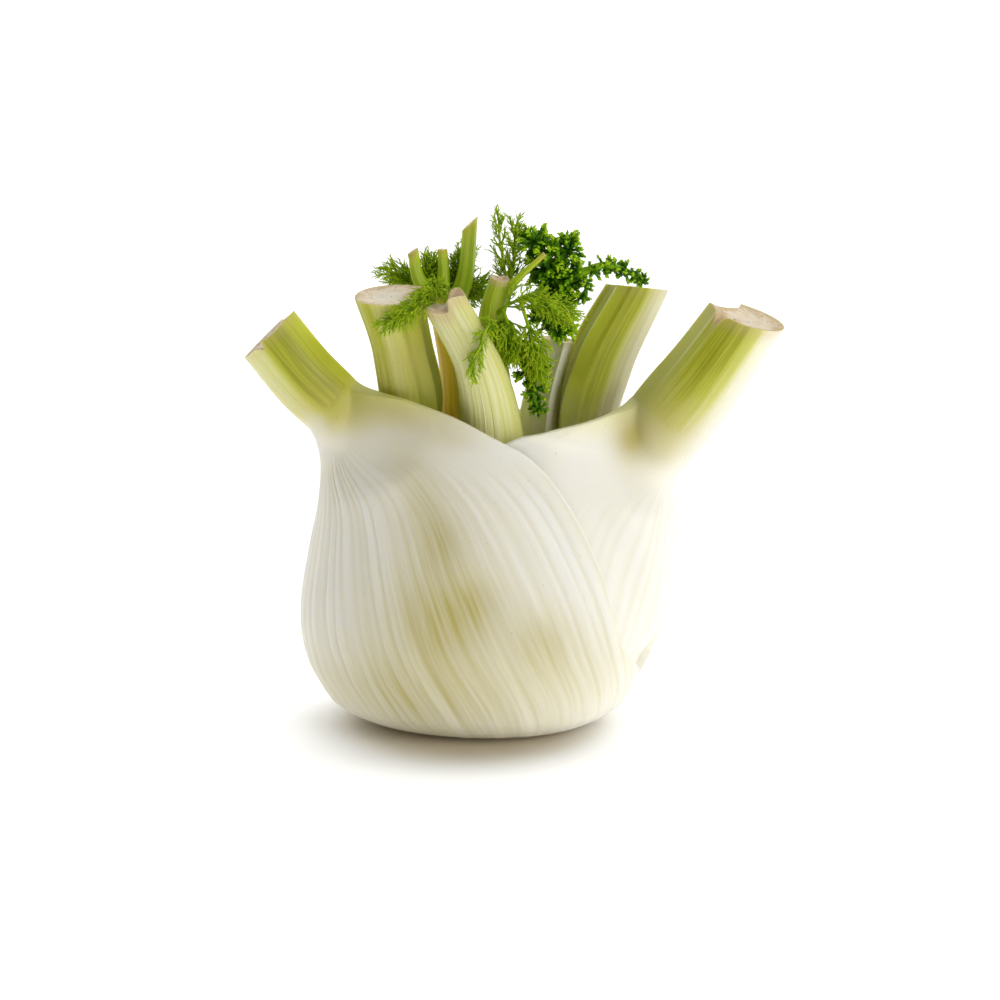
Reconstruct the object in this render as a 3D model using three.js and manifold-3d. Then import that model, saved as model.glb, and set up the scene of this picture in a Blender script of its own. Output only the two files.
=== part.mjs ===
// A fresh fennel bulb, trimmed, standing upright on its root scar.
// Millimetres, +Z up, front of the bulb towards -Y, +X to its right.
// The bulb is a rosette: each leaf is one piece, a thick white sheath that narrows into a stalk.
import * as THREE from "three";
import Module from "manifold-3d";

const { Manifold, Mesh: SolidMesh } = await startSolids();

// Outline of the whole bulb: half width to the left and right and half depth, each as [height, size]
const LEFT = [
  [0, 24], [2, 34], [6, 42], [11, 46], [19, 50], [31, 51.4], [48, 49], [61, 46.6], [74, 45.2], [95, 39],
];
const RIGHT = [
  [0, 22], [2, 29], [6, 36], [11, 39.6], [19, 43.6], [31, 47.8], [48, 49.7], [66, 50], [78, 48], [95, 42],
];
const DEPTH = [
  [0, 17], [2, 24], [6, 30], [11, 33.4], [19, 36.4], [31, 38.4], [48, 37], [66, 33], [82, 28.5], [95, 25],
];

// Stem that carries the sheaths: height, half width and half depth, flat at the root scar
const CORE = [
  [0, 20.5, 14.5], [3, 21.5, 15], [6, 20.5, 14], [10, 15.5, 10], [16, 10, 6.5], [24, 6, 4.5], [32, 3, 3],
];

// Heights of the rows of points on the sheaths, the same on every leaf so that neighbours stay parallel
const LEVELS = [
  0.8, 3.2, 7, 12, 18, 25, 33, 42, 51, 59, 66, 72.5, 78, 82, 85, 87, 88.6, 90, 91.4, 93, 94.4,
];

const GAP = 0.9; // clearance between two sheaths
const MARGIN_RAMP = 0.2; // share of a sheath's wrap over which the leaves below swell out past its margin
const STALK_ARC = THREE.MathUtils.degToRad(112); // reach of a stalk's rounded back round each side
const LIP = 0.75; // depth of the lips of a stalk's channel below its centre line, as a share of its thickness
const RIB_SHARE = 0.12; // height of a rib as a share of the distance between ribs
const RIB_LIMIT = 0.4;

const CREAM = "#e6e3cc";
const PALE_GREEN = "#cdd39a";
const STEM_CREAM = "#d8cfae";
const FROND_GREEN = "#4c7a17";
const CURLY_GREEN = "#3a6410";

// The leaves from the outside in.
// facing: where the midrib lies, in degrees from the front towards the right
// base, top: heights between which the sheath runs; middle, edge: its thickness at the midrib and the margins
// inset: how much further in it lies than the leaves round it need
// wrap, wrapBack: angle that it spans at each height round the front, and round the back where that differs
// sweep, gather: how far ribs are drawn to the margins near the base, and to the stalk near the rim
// spread: degrees to each side of the midrib that run into the stalk
// lean: heights between which sheath turns into stalk, along the midrib, the front and the back margin
// twist: degrees from the midrib to where the back of the stalk faces
// root, bend, tip: centre line of the stalk; width, thickness: its half sizes from root (0) to tip (1)
// cut: direction that the cut end faces
const LEAVES = [
  {
    name: "leaf_outer_left", colour: CREAM, facing: -104, base: 0.8, top: 95.6,
    middle: 10, edge: 1.6, sweep: 0.1, gather: 0.2, spread: 50,
    wrap: [
      [0, 172], [14, 176], [28, 152], [49, 140], [69, 127], [80, 116],
      [86, 102], [90, 90], [92.4, 78], [94.2, 66], [95.6, 54],
    ],
    wrapBack: [
      [0, 170], [8, 165], [14, 156], [28, 138], [49, 130], [66, 122], [75, 108],
      [79.5, 94], [81.6, 78], [82.8, 58], [84, 40], [86, 28], [95.6, 18],
    ],
    lean: [[58, 88], [93.6, 95.6], [82, 92]],
    twist: 36, root: [-42.6, -3.8, 89.8], bend: [-49.6, -4.4, 97.2], tip: [-58.4, -5, 108.6],
    width: [[0, 10.4], [1, 9.3]], thickness: [[0, 9], [1, 9.2]], cut: [-0.7, 0.04, 0.71],
    ribs: 19, insideColumns: 22, stalkRows: 3,
  },
  {
    name: "leaf_outer_right", colour: CREAM, facing: 104, base: 3.2, top: 91.2,
    middle: 9, edge: 1.6, sweep: 0.1, gather: 0.3, spread: 50,
    wrap: [
      [3, 168], [20, 160], [45, 150], [66, 132], [78, 112],
      [84.5, 93], [86.6, 81], [87.8, 70], [89, 60], [90.2, 53], [91.2, 48],
    ],
    wrapBack: [[3, 160], [30, 130], [50, 100], [60, 62], [66, 38], [72, 22], [78, 16]],
    lean: [[56, 85], [89, 91.2], [70, 80]],
    twist: -50, root: [47.8, -7.6, 85.4], bend: [56.2, -8.6, 96.8], tip: [67.8, -9.8, 114.2],
    width: [[0, 11.6], [1, 9.6]], thickness: [[0, 11], [1, 9.8]], cut: [0.28, -0.1, 0.95],
    ribs: 16, insideColumns: 18, stalkRows: 3,
  },
  {
    name: "leaf_second_left", colour: PALE_GREEN, facing: -96, base: 7, top: 86,
    middle: 9, edge: 1.4, spread: 34, inset: 0.3,
    wrap: [[8, 150], [30, 120], [55, 92], [68, 70], [78, 46], [86, 28]],
    lean: [[56, 80], [80, 86], [80, 86]],
    root: [-20.4, -4.8, 86], bend: [-22.6, -5.6, 104], tip: [-26, -6.2, 119.2],
    width: [[0, 9.4], [0.6, 8.4], [1, 9.6]], thickness: [[0, 9.1], [0.6, 8.5], [1, 9.7]],
    cut: [-0.05, -0.1, 0.99],
    ribs: 8, insideColumns: 16, stalkRows: 5,
  },
  {
    name: "leaf_second_right", colour: PALE_GREEN, facing: 98, base: 12, top: 78.6,
    middle: 9, edge: 1.4, spread: 34, inset: 1.6,
    wrap: [[12, 140], [30, 116], [52, 88], [64, 64], [72, 42], [78.6, 28]],
    wrapBack: [[12, 120], [30, 92], [50, 56], [62, 34], [70, 28]],
    lean: [[52, 72], [73, 78.6], [58, 70]],
    root: [25, 9, 80], bend: [29.6, 9.6, 99], tip: [39.2, 10, 118.4],
    width: [[0, 8.6], [1, 7.6]], thickness: [[0, 9.2], [0.4, 9.5], [1, 8.2]], cut: [0.1, 0.18, 0.97],
    ribs: 8, insideColumns: 16, stalkRows: 5,
  },
  {
    name: "leaf_third_front", colour: PALE_GREEN, facing: -8, base: 18, top: 80,
    middle: 7, edge: 1.4, spread: 34, inset: 0.6,
    wrap: [[18, 112], [35, 90], [55, 60], [68, 38], [80, 28]],
    lean: [[58, 76], [74, 80], [74, 80]],
    root: [0.2, -14.4, 80], bend: [-2.6, -16, 101], tip: [-11.6, -16, 119],
    width: [[0, 8.7], [0.3, 7.3], [0.65, 5.8], [1, 5.6]], thickness: [[0, 7], [1, 5]],
    cut: [-0.12, -0.15, 0.98],
    ribs: 9, insideColumns: 14, stalkRows: 5,
  },
  {
    name: "leaf_third_back", colour: PALE_GREEN, facing: 155, base: 59, top: 76,
    middle: 6, edge: 1.4, spread: 34, inset: 8.3,
    wrap: [[59, 24], [76, 24]],
    lean: [[59, 72], [66, 76], [66, 76]],
    root: [12.6, 9, 76], bend: [14.5, 9.4, 90], tip: [18.4, 10, 104],
    width: [[0, 5.6], [1, 4.4]], thickness: [[0, 5.4], [1, 4.2]], cut: [0.1, 0, 0.99],
    ribs: 6, insideColumns: 10, stalkRows: 3,
  },
  {
    name: "leaf_inner_left", colour: PALE_GREEN, facing: -150, base: 51, top: 76,
    middle: 5, edge: 1.4, spread: 34, inset: 3,
    wrap: [[51, 32], [64, 30], [76, 26]],
    lean: [[54, 68], [66, 76], [66, 76]],
    root: [-8.8, 9, 76], bend: [-9.4, 9.4, 96], tip: [-13.4, 10.4, 116.5],
    width: [[0, 4.8], [1, 3.6]], thickness: [[0, 4.8], [1, 3.6]], cut: [-0.1, 0, 0.99],
    ribs: 6, insideColumns: 10, stalkRows: 5,
    stubs: [
      { path: [[-13.6, 10.4, 114], [-19, 10.8, 120], [-20.8, 11, 128]], sizes: [2.4, 1.5] },
      { path: [[-13.4, 10.4, 115], [-12.6, 11, 121], [-12.8, 11.4, 128.4]], sizes: [2.2, 1.3] },
      { path: [[-10.6, 10.4, 111], [-6.4, 10.6, 121], [-4.8, 11, 137]], sizes: [2.6, 2.2] },
    ],
  },
  {
    name: "leaf_inner_front", colour: PALE_GREEN, facing: 20, base: 59, top: 76,
    middle: 4, edge: 1.4, spread: 34, inset: 1.5,
    wrap: [[59, 30], [76, 26]],
    lean: [[59, 72], [66, 76], [66, 76]],
    root: [4, -2.4, 78], bend: [0.4, -3.6, 112], tip: [2.8, -4, 123.4],
    width: [[0, 4.4], [0.5, 3.4], [1, 2.5]], thickness: [[0, 4.4], [1, 2.4]], cut: [0.2, -0.2, 0.96],
    ribs: 5, insideColumns: 8, stalkRows: 5,
    stubs: [
      { path: [[1.4, -4, 115.5], [6, -4, 121.6], [14.6, -3, 129.6]], sizes: [1.5, 0.7] },
    ],
  },
];

// Fronds left on the inner leaves.
// stems: centre lines; sizes: radius of a stem at its foot and end
// pairs, reach: twigs along each stem and their length
// tufts: curly young leaflets round smaller cores, as position and radius
// leaflets: how many on a tuft of the usual size
const FRONDS = [
  {
    name: "frond_crown_curly", colour: CURLY_GREEN, sizes: [1.4, 0.8], pairs: 0, leaflets: 12,
    stems: [
      [[18.2, 9, 105.2], [18.6, 6, 111], [17.6, 3, 120], [13, 3, 135]],
      [[17.6, 3, 120], [19, 2.8, 126], [20.4, 3, 133]],
      [[17.6, 3, 120], [23.4, 0.8, 123.2], [30, -0.2, 126], [36, -0.2, 124.6], [41.2, 0, 121.8]],
    ],
    tufts: [
      [12.4, 3, 134.4, 5], [20.2, 3, 131.8, 5], [15.8, 2.4, 126.4, 6], [20.6, 2.2, 123.4, 5.2],
      [18, 2.6, 117, 5.8], [18.4, 4, 109.4, 5], [25.4, 0.4, 120.6, 2.4], [29.6, -0.2, 125.6, 2.4],
      [34.4, -0.2, 125, 2.6], [39, 0, 122.9, 2.2],
    ],
  },
  {
    name: "frond_drop_curly", colour: CURLY_GREEN, sizes: [1.1, 0.7], pairs: 0, leaflets: 13,
    stems: [
      [[5.4, -5.8, 112.5], [7, -8.6, 106], [10.2, -9, 97.5], [13, -8.4, 88]],
      [[7.4, -8.7, 105], [11.8, -8.4, 102.6], [14.2, -8, 97]],
    ],
    tufts: [
      [7.2, -8.8, 104.6, 2.4], [9.4, -9, 98.6, 3], [12.8, -8.4, 101, 3], [12, -8.6, 94, 3.2],
      [13, -8.4, 89, 2.4],
    ],
  },
  {
    name: "frond_left_upper", colour: FROND_GREEN, sizes: [0.9, 0.6], pairs: 3, reach: 7,
    stems: [
      [[-15.9, 14.9, 111], [-19.5, 16, 118], [-26, 16, 121]],
      [[-15.9, 14.9, 111], [-10.5, 16, 118], [-7.6, 16, 125]],
    ],
  },
  {
    name: "frond_left_fringe", colour: FROND_GREEN, sizes: [0.9, 0.6], pairs: 8, reach: 6.5,
    stems: [[[-11.3, 7, 116], [-14, -2, 122], [-19, -14, 120.5], [-22, -18, 115], [-28, -18.6, 110.5]]],
  },
  {
    name: "frond_front_sprig", colour: FROND_GREEN, sizes: [0.9, 0.6], pairs: 7, reach: 4.4,
    stems: [[[1.4, -8.8, 108], [1.2, -14, 113.5], [-1, -22, 112.6], [-4.6, -25, 103]]],
  },
  {
    name: "frond_top_fine", colour: FROND_GREEN, sizes: [0.9, 0.6], pairs: 5, reach: 5,
    stems: [
      [[3.6, 0.8, 110], [4.2, 3, 122], [2.8, 3.2, 132], [2.4, 3, 141]],
      [[3.6, 0.8, 110], [5.8, 3.4, 122], [6.8, 4, 138]],
    ],
  },
  {
    name: "frond_mid_fine", colour: FROND_GREEN, sizes: [0.9, 0.6], pairs: 4, reach: 5.6,
    stems: [
      [[3.4, -8, 115.5], [8, -9.6, 118.5], [14, -10.4, 118], [21, -9.6, 114.5]],
      [[8, -9.6, 118.5], [11, -12.6, 109], [13, -13, 100]],
    ],
  },
];

const TWIG = 0.55; // radius of a side twig at its root
const NEEDLE = 0.4; // radius of a needle at its root
const LEAFLET = 1.2; // radius of a curly leaflet at its root
const USUAL_TUFT = 5; // radius of a tuft of the usual size
const LEAFLET_REACH = 2.3; // how far the leaflets of a tuft stand out
const CLEAR = 0.45; // clearance between foliage and everything else
const STEM_STEPS = 5;
const FINEST = 0.06; // detail below this size is left out where foliage joins

async function startSolids() {
  const solids = await Module();
  solids.setup();
  return solids;
}

// Repeatable random numbers from 0 to 1
function randomFrom(seed) {
  let state = seed;
  return () => {
    state = (state * 1664525 + 1013904223) % 4294967296;
    return state / 4294967296;
  };
}

// Smooth curve through [key, value] points, level beyond both ends
function smooth(points, key) {
  const last = points.length - 1;
  if (key <= points[0][0]) return points[0][1];
  if (key >= points[last][0]) return points[last][1];
  const next = points.findIndex((point) => point[0] > key);
  const here = next - 1;
  const slope = (a, b) => (points[b][1] - points[a][1]) / (points[b][0] - points[a][0]);
  const step = points[next][0] - points[here][0];
  const share = (key - points[here][0]) / step;
  const leaving = slope(Math.max(here - 1, 0), next) * step;
  const arriving = slope(here, Math.min(next + 1, last)) * step;
  const change = points[next][1] - points[here][1];
  const bow = share * (1 - share) * ((1 - share) * (leaving - change) - share * (arriving - change));
  return points[here][1] + share * change + bow;
}

const vector = ([x, y, z]) => new THREE.Vector3(x, y, z);
const radians = THREE.MathUtils.degToRad;
const ramp = THREE.MathUtils.smoothstep;
const mix = THREE.MathUtils.lerp;

// Point on the bulb's outline, sunk below it by a depth
function outlinePoint(angle, height, depth) {
  const side = Math.sin(angle) > 0 ? RIGHT : LEFT;
  const halfWidth = smooth(side, height) - depth;
  const halfDepth = smooth(DEPTH, height) - depth;
  return new THREE.Vector3(halfWidth * Math.sin(angle), -halfDepth * Math.cos(angle), height);
}

// Sheaths are thickest along the midrib, thin at the margins and thinner near the stem
function sheathThickness(leaf, across, height) {
  const swell = mix(0.5, 1, ramp(height, leaf.base, leaf.base + 22));
  return (leaf.edge + (leaf.middle - leaf.edge) * (1 - Math.abs(across) ** 2.2)) * swell;
}

// Angle that a sheath spans on the side of its midrib that a turn leads to
function wrapAt(leaf, turn, height) {
  const front = turn * leaf.facing < 0;
  return radians(smooth(front ? leaf.wrap : leaf.wrapBack ?? leaf.wrap, height));
}

// How far a leaf pushes the leaves under it inwards, at an angle and height
function cover(leaf, angle, height) {
  const apart = angle - radians(leaf.facing);
  const turn = Math.atan2(Math.sin(apart), Math.cos(apart));
  const away = Math.abs(turn) / wrapAt(leaf, turn, height);
  const past = 1 - ramp(away, 1 + MARGIN_RAMP / 3, 1 + MARGIN_RAMP);
  const begun = ramp(height, leaf.base - 4, leaf.base);
  return (sheathThickness(leaf, Math.min(away, 1), height) + GAP + (leaf.inset ?? 0)) * past * begun;
}

function depthUnder(leaf, angle, height) {
  const outside = LEAVES.slice(0, LEAVES.indexOf(leaf));
  return outside.reduce((sum, outer) => sum + cover(outer, angle, height), leaf.inset ?? 0);
}

// Closed skin over rings with equal counts of points, with flat ends
function skin(rings) {
  const count = rings[0].length;
  const positions = rings.flat().flatMap((point) => [point.x, point.y, point.z]);
  const index = [];
  for (let row = 0; row + 1 < rings.length; row += 1) {
    for (let column = 0; column < count; column += 1) {
      const next = (column + 1) % count;
      const a = row * count + column;
      const b = row * count + next;
      const rising = rings[row][column].distanceTo(rings[row + 1][next]);
      const falling = rings[row][next].distanceTo(rings[row + 1][column]);
      const middle = rising < falling ? [b + count, a] : [a + count, b];
      index.push(a, b, middle[0], middle[1], b + count, a + count);
    }
  }
  index.push(...endFaces(rings[0], 0, false));
  index.push(...endFaces(rings[rings.length - 1], (rings.length - 1) * count, true));
  const geometry = new THREE.BufferGeometry();
  geometry.setAttribute("position", new THREE.Float32BufferAttribute(positions, 3));
  geometry.setIndex(signedVolume(positions, index) > 0 ? index : index.reverse());
  return geometry;
}

// Flat face inside one ring, wound with or against the order of its points
function endFaces(ring, first, along) {
  const centre = ring.reduce((sum, point) => sum.add(point), new THREE.Vector3()).divideScalar(ring.length);
  const normal = new THREE.Vector3();
  ring.forEach((point, i) => {
    const next = ring[(i + 1) % ring.length];
    normal.add(point.clone().sub(centre).cross(next.clone().sub(centre)));
  });
  normal.normalize();
  const helper = Math.abs(normal.z) < 0.9 ? new THREE.Vector3(0, 0, 1) : new THREE.Vector3(1, 0, 0);
  const sideways = helper.cross(normal).normalize();
  const upwards = normal.clone().cross(sideways);
  const flat = ring.map((point) => new THREE.Vector2(point.dot(sideways), point.dot(upwards)));
  return THREE.ShapeUtils.triangulateShape(flat, []).flatMap((face) => {
    const [a, b, c] = face.map((i) => flat[i]);
    const turned = b.clone().sub(a).cross(c.clone().sub(a)) > 0;
    const ordered = turned === along ? face : [face[0], face[2], face[1]];
    return ordered.map((i) => first + i);
  });
}

function signedVolume(positions, index) {
  const corner = (i) => new THREE.Vector3().fromArray(positions, index[i] * 3);
  let volume = 0;
  for (let i = 0; i < index.length; i += 3) {
    volume += corner(i).dot(corner(i + 1).cross(corner(i + 2)));
  }
  return volume;
}

// Centre line of a leaf's stalk, from its foot inside the sheath (-1) over its root (0) to its cut tip (1)
class Stalk {
  constructor(leaf) {
    this.leaf = leaf;
    this.start = leaf.lean[0][0];
    const facing = radians(leaf.facing);
    const halfFoot = leaf.middle / 1.5;
    const foot = outlinePoint(facing, this.start, depthUnder(leaf, facing, this.start) + halfFoot);
    this.line = new THREE.CatmullRomCurve3([foot, vector(leaf.root), vector(leaf.bend), vector(leaf.tip)]);
    this.width = [[-1, 1.15 * leaf.width[0][1]], ...leaf.width];
    this.thickness = [[-1, halfFoot], ...leaf.thickness];
    const turned = radians(leaf.facing + (leaf.twist ?? 0));
    this.outwards = new THREE.Vector3(Math.sin(turned), -Math.cos(turned), 0);
  }

  place(share) {
    const step = share < 0 ? (1 + share) / 3 : (1 + 2 * share) / 3;
    const along = this.line.getTangent(step);
    const centre = this.line.getPoint(step);
    const back = this.outwards.clone().addScaledVector(along, -this.outwards.dot(along)).normalize();
    const across = along.clone().cross(back);
    const size = [smooth(this.width, share), smooth(this.thickness, share)];
    return { along, centre, back, across, size, share };
  }

  // Share below the root that goes with a height on the sheath
  shareBelow(height) {
    return Math.max((height - this.leaf.top) / (this.leaf.top - this.start), -1);
  }

  // Section: a rounded back with ribs, and a shallow channel on the side that faces the heart of the bulb
  point(place, t, inside, rib) {
    const [halfWidth, halfThickness] = place.size;
    const angle = t * STALK_ARC;
    const backwards = inside
      ? halfThickness * (0.25 * (1 - t * t) - LIP)
      : (halfThickness + rib) * Math.cos(angle);
    const sideways = inside ? halfWidth * 0.74 * t : (halfWidth + rib) * Math.sin(angle);
    const point = place.centre.clone()
      .addScaledVector(place.back, backwards)
      .addScaledVector(place.across, sideways);
    const cut = vector(this.leaf.cut);
    const offset = point.clone().sub(place.centre).dot(cut) / place.along.dot(cut);
    return point.addScaledVector(place.along, -offset * ramp(place.share, 0.3, 1));
  }
}

function leafRing(leaf, stalk, level, share) {
  const place = stalk.place(share);
  const root = stalk.place(0);
  const onSheath = share < 0;
  const span = onSheath
    ? wrapAt(leaf, -leaf.facing, level) * smooth(DEPTH, level)
    : place.size[0] * STALK_ARC;
  const ribHeight = Math.min((RIB_SHARE * span) / leaf.ribs, RIB_LIMIT);
  const gather = (leaf.gather ?? 0) * ramp(level, 66, 92);
  const sweep = (leaf.sweep ?? 0) * (1 - ramp(level, 8, 80)) - gather;
  const point = (column, columns, inside) => {
    const even = (2 * column) / columns - 1;
    const t = even * (1 + sweep * (1 - even * even));
    const wrap = wrapAt(leaf, t, level);
    const rib = column % 2 === 1 ? ribHeight : 0;
    const onStalk = stalk.point(place, even, inside, rib);
    if (!onSheath) return onStalk;
    const end = mix(stalk.point(root, even, inside, 0).z - 1, leaf.top, even ** 6);
    const height = level + Math.max(0, level - stalk.start) * (end - leaf.top) / (leaf.top - stalk.start);
    const angle = radians(leaf.facing) + t * wrap;
    const under = depthUnder(leaf, angle, height);
    const shown = Math.max(0, 1 - under / GAP);
    const depth = under + (inside ? sheathThickness(leaf, t, height) : -rib * shown);
    const [midrib, frontMargin, backMargin] = leaf.lean;
    const front = t * leaf.facing < 0;
    const margin = front ? frontMargin : backMargin;
    const across = Math.abs(even);
    const side = leaf.gather && front ? across ** 1.5 : Math.min((across * wrap) / radians(leaf.spread), 1);
    const leaning = ramp(level, mix(midrib[0], margin[0], side), mix(midrib[1], margin[1], side));
    return outlinePoint(angle, height, depth).lerp(onStalk, leaning);
  };
  const outsideColumns = leaf.ribs * 2;
  const side = (columns, inside) => Array.from({ length: columns + 1 }, (_, i) => point(i, columns, inside));
  return [...side(outsideColumns, false), ...side(leaf.insideColumns, true).reverse()];
}

function leafGeometry(leaf) {
  const stalk = new Stalk(leaf);
  const levels = LEVELS.filter((level) => level >= leaf.base && level < leaf.top - 0.5);
  const rings = levels.map((level) => leafRing(leaf, stalk, level, stalk.shareBelow(level)));
  for (let row = 0; row <= leaf.stalkRows; row += 1) {
    rings.push(leafRing(leaf, stalk, leaf.top, row / leaf.stalkRows));
  }
  return skin(rings);
}

function coreGeometry() {
  const sides = 28;
  const rings = CORE.map(([height, halfWidth, halfDepth]) => Array.from({ length: sides }, (_, i) => {
    const angle = (2 * Math.PI * i) / sides;
    return new THREE.Vector3(halfWidth * Math.cos(angle), halfDepth * Math.sin(angle), height);
  }));
  return skin(rings);
}

// Tapered stem along a smooth curve
function stemGeometry(points, sizes, sides) {
  const curve = new THREE.CatmullRomCurve3(points.map(vector));
  const frames = curve.computeFrenetFrames(STEM_STEPS);
  const rings = Array.from({ length: STEM_STEPS + 1 }, (_, step) => {
    const centre = curve.getPointAt(step / STEM_STEPS);
    const size = mix(...sizes, step / STEM_STEPS);
    return Array.from({ length: sides }, (_unused, i) => {
      const angle = (2 * Math.PI * i) / sides;
      return centre.clone().addScaledVector(frames.normals[step], size * Math.cos(angle))
        .addScaledVector(frames.binormals[step], size * Math.sin(angle));
    });
  });
  return skin(rings);
}

// Three-sided needle that ends in a point
function needleGeometry(from, to, size) {
  const needle = new THREE.ConeGeometry(size, 1, 3, 1);
  const along = to.clone().sub(from);
  const upright = new THREE.Vector3(0, 1, 0);
  const turn = new THREE.Quaternion().setFromUnitVectors(upright, along.clone().normalize());
  const middle = from.clone().add(to).divideScalar(2);
  needle.applyMatrix4(new THREE.Matrix4().compose(middle, turn, new THREE.Vector3(1, along.length(), 1)));
  return needle;
}

function toSolid(geometry) {
  const positions = geometry.getAttribute("position");
  const mesh = new SolidMesh({
    numProp: 3,
    vertProperties: new Float32Array(positions.array),
    triVerts: geometry.getIndex()
      ? new Uint32Array(geometry.getIndex().array)
      : Uint32Array.from({ length: positions.count }, (_, i) => i),
  });
  mesh.merge();
  return new Manifold(mesh);
}

function toGeometry(solid) {
  const mesh = solid.getMesh();
  const geometry = new THREE.BufferGeometry();
  geometry.setAttribute("position", new THREE.BufferAttribute(new Float32Array(mesh.vertProperties), 3));
  geometry.setIndex(new THREE.BufferAttribute(new Uint32Array(mesh.triVerts), 1));
  return geometry;
}

// One body from pieces that grow out of each other
function fuse(geometries) {
  const bodies = Manifold.union(geometries.map(toSolid)).simplify(FINEST).decompose();
  bodies.sort((a, b) => b.volume() - a.volume());
  return toGeometry(bodies[0]);
}

// Shortest distance between two straight pieces
function distanceBetween(one, other) {
  const u = one.to.clone().sub(one.from);
  const v = other.to.clone().sub(other.from);
  const w = one.from.clone().sub(other.from);
  const [a, b, c, d, e] = [u.dot(u), u.dot(v), v.dot(v), u.dot(w), v.dot(w)];
  const clamp = (x) => THREE.MathUtils.clamp(x, 0, 1);
  const determinant = a * c - b * b;
  const first = determinant > 1e-6 ? clamp((b * e - c * d) / determinant) : 0;
  const t = clamp((b * first + e) / c);
  const s = clamp((b * t - d) / a);
  return w.addScaledVector(u, s).addScaledVector(v, -t).length();
}

// Space already taken, as straight pieces with a thickness
class Room {
  constructor() {
    this.taken = [];
  }

  add(pieces, owner) {
    this.taken.push(...pieces.map((piece) => ({ ...piece, owner })));
  }

  isFree(piece, owner) {
    return this.taken.every((other) => other.owner === owner
      || distanceBetween(piece, other) > piece.size + other.size + CLEAR);
  }
}

function piecesAlong(points, sizes) {
  const stops = new THREE.CatmullRomCurve3(points.map(vector)).getSpacedPoints(STEM_STEPS);
  return stops.slice(1).map((to, i) => ({ from: stops[i], to, size: mix(...sizes, i / STEM_STEPS) }));
}

function stalkPieces(leaf) {
  const stalk = new Stalk(leaf);
  const shares = [-0.4, 0, 0.2, 0.4, 0.6, 0.8, 1];
  return shares.slice(1).map((share, i) => {
    const lower = stalk.place(shares[i]);
    return { from: lower.centre, to: stalk.place(share).centre, size: Math.max(...lower.size) };
  });
}

// Adds a needle or leaflet to a frond where there is room for it
function grow(parts, room, owner, from, to, size) {
  const piece = { from, to, size };
  if (!room.isFree(piece, owner)) return;
  room.add([piece], owner);
  parts.push(needleGeometry(from, to, size));
}

// Twigs in pairs along a frond's stem, each with a fork
function growTwigs(frond, stem, parts, room, random) {
  const curve = new THREE.CatmullRomCurve3(stem.map(vector));
  for (let pair = 0; pair < frond.pairs; pair += 1) {
    const share = mix(0.36, 1, (pair + 0.5) / frond.pairs);
    const from = curve.getPointAt(share);
    const along = curve.getTangentAt(share);
    const turn = pair * 2.4 + random();
    for (let side = 0; side < 2; side += 1) {
      const sideways = new THREE.Vector3(0, 1, 0).cross(along).normalize()
        .applyAxisAngle(along, turn + side * Math.PI + 0.5 * random());
      const reach = frond.reach * mix(1, 0.65, share) * mix(0.75, 1.15, random());
      const to = from.clone().addScaledVector(along, reach * 0.62).addScaledVector(sideways, reach * 0.78);
      grow(parts, room, frond.name, from, to, TWIG);
      const fork = from.clone().lerp(to, 0.3);
      const forkEnd = fork.clone()
        .addScaledVector(along, reach * 0.55)
        .addScaledVector(sideways, reach * 0.12);
      grow(parts, room, frond.name, fork, forkEnd, NEEDLE);
    }
  }
}

// Curly leaflets on all sides of a small core
function growTuft(frond, [x, y, z, size], parts, room, random) {
  const centre = new THREE.Vector3(x, y, z);
  parts.push(new THREE.IcosahedronGeometry(size * 0.75, 0).scale(1, 0.9, 1.15).translate(x, y, z));
  const count = Math.round((frond.leaflets * size) / USUAL_TUFT);
  for (let i = 0; i < count; i += 1) {
    const height = 1 - (2 * (i + 0.5)) / count;
    const angle = i * Math.PI * (3 - Math.sqrt(5)) + 0.6 * random();
    const flat = Math.sqrt(1 - height * height);
    const outwards = new THREE.Vector3(flat * Math.cos(angle), flat * Math.sin(angle), height);
    const from = centre.clone().addScaledVector(outwards, size * 0.4);
    const reach = size * 0.7 + LEAFLET_REACH * mix(0.6, 1.2, random());
    const to = centre.clone().addScaledVector(outwards, reach);
    grow(parts, room, frond.name, from, to, LEAFLET);
  }
}

function frondGeometry(frond, room, random) {
  const parts = frond.stems.map((stem) => stemGeometry(stem, frond.sizes, 4));
  frond.stems.forEach((stem) => growTwigs(frond, stem, parts, room, random));
  (frond.tufts ?? []).forEach((tuft) => growTuft(frond, tuft, parts, room, random));
  return fuse(parts);
}

function meshOf(name, geometry, colour) {
  const mesh = new THREE.Mesh(geometry, new THREE.MeshStandardMaterial({ color: colour, roughness: 0.55 }));
  mesh.name = name;
  return mesh;
}

const bulb = new THREE.Group();
bulb.name = "fennel_bulb";
bulb.add(meshOf("stem_core", coreGeometry(), STEM_CREAM));

const room = new Room();
for (const leaf of LEAVES) {
  const stubs = leaf.stubs ?? [];
  const whole = leafGeometry(leaf);
  const grown = stubs.map((stub) => stemGeometry(stub.path, stub.sizes, 8));
  bulb.add(meshOf(leaf.name, stubs.length ? fuse([whole, ...grown]) : whole, leaf.colour));
  room.add(stalkPieces(leaf), leaf.name);
  stubs.forEach((stub) => room.add(piecesAlong(stub.path, stub.sizes), leaf.name));
}

const random = randomFrom(7);
for (const frond of FRONDS) {
  room.add(frond.stems.flatMap((stem) => piecesAlong(stem, frond.sizes)), frond.name);
  const cores = (frond.tufts ?? []).map(([x, y, z, size]) => {
    const centre = vector([x, y, z]);
    return { from: centre, to: centre.clone().setZ(z + 0.1), size };
  });
  room.add(cores, frond.name);
}
for (const frond of FRONDS) {
  bulb.add(meshOf(frond.name, frondGeometry(frond, room, random), frond.colour));
}

export default bulb;
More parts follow.
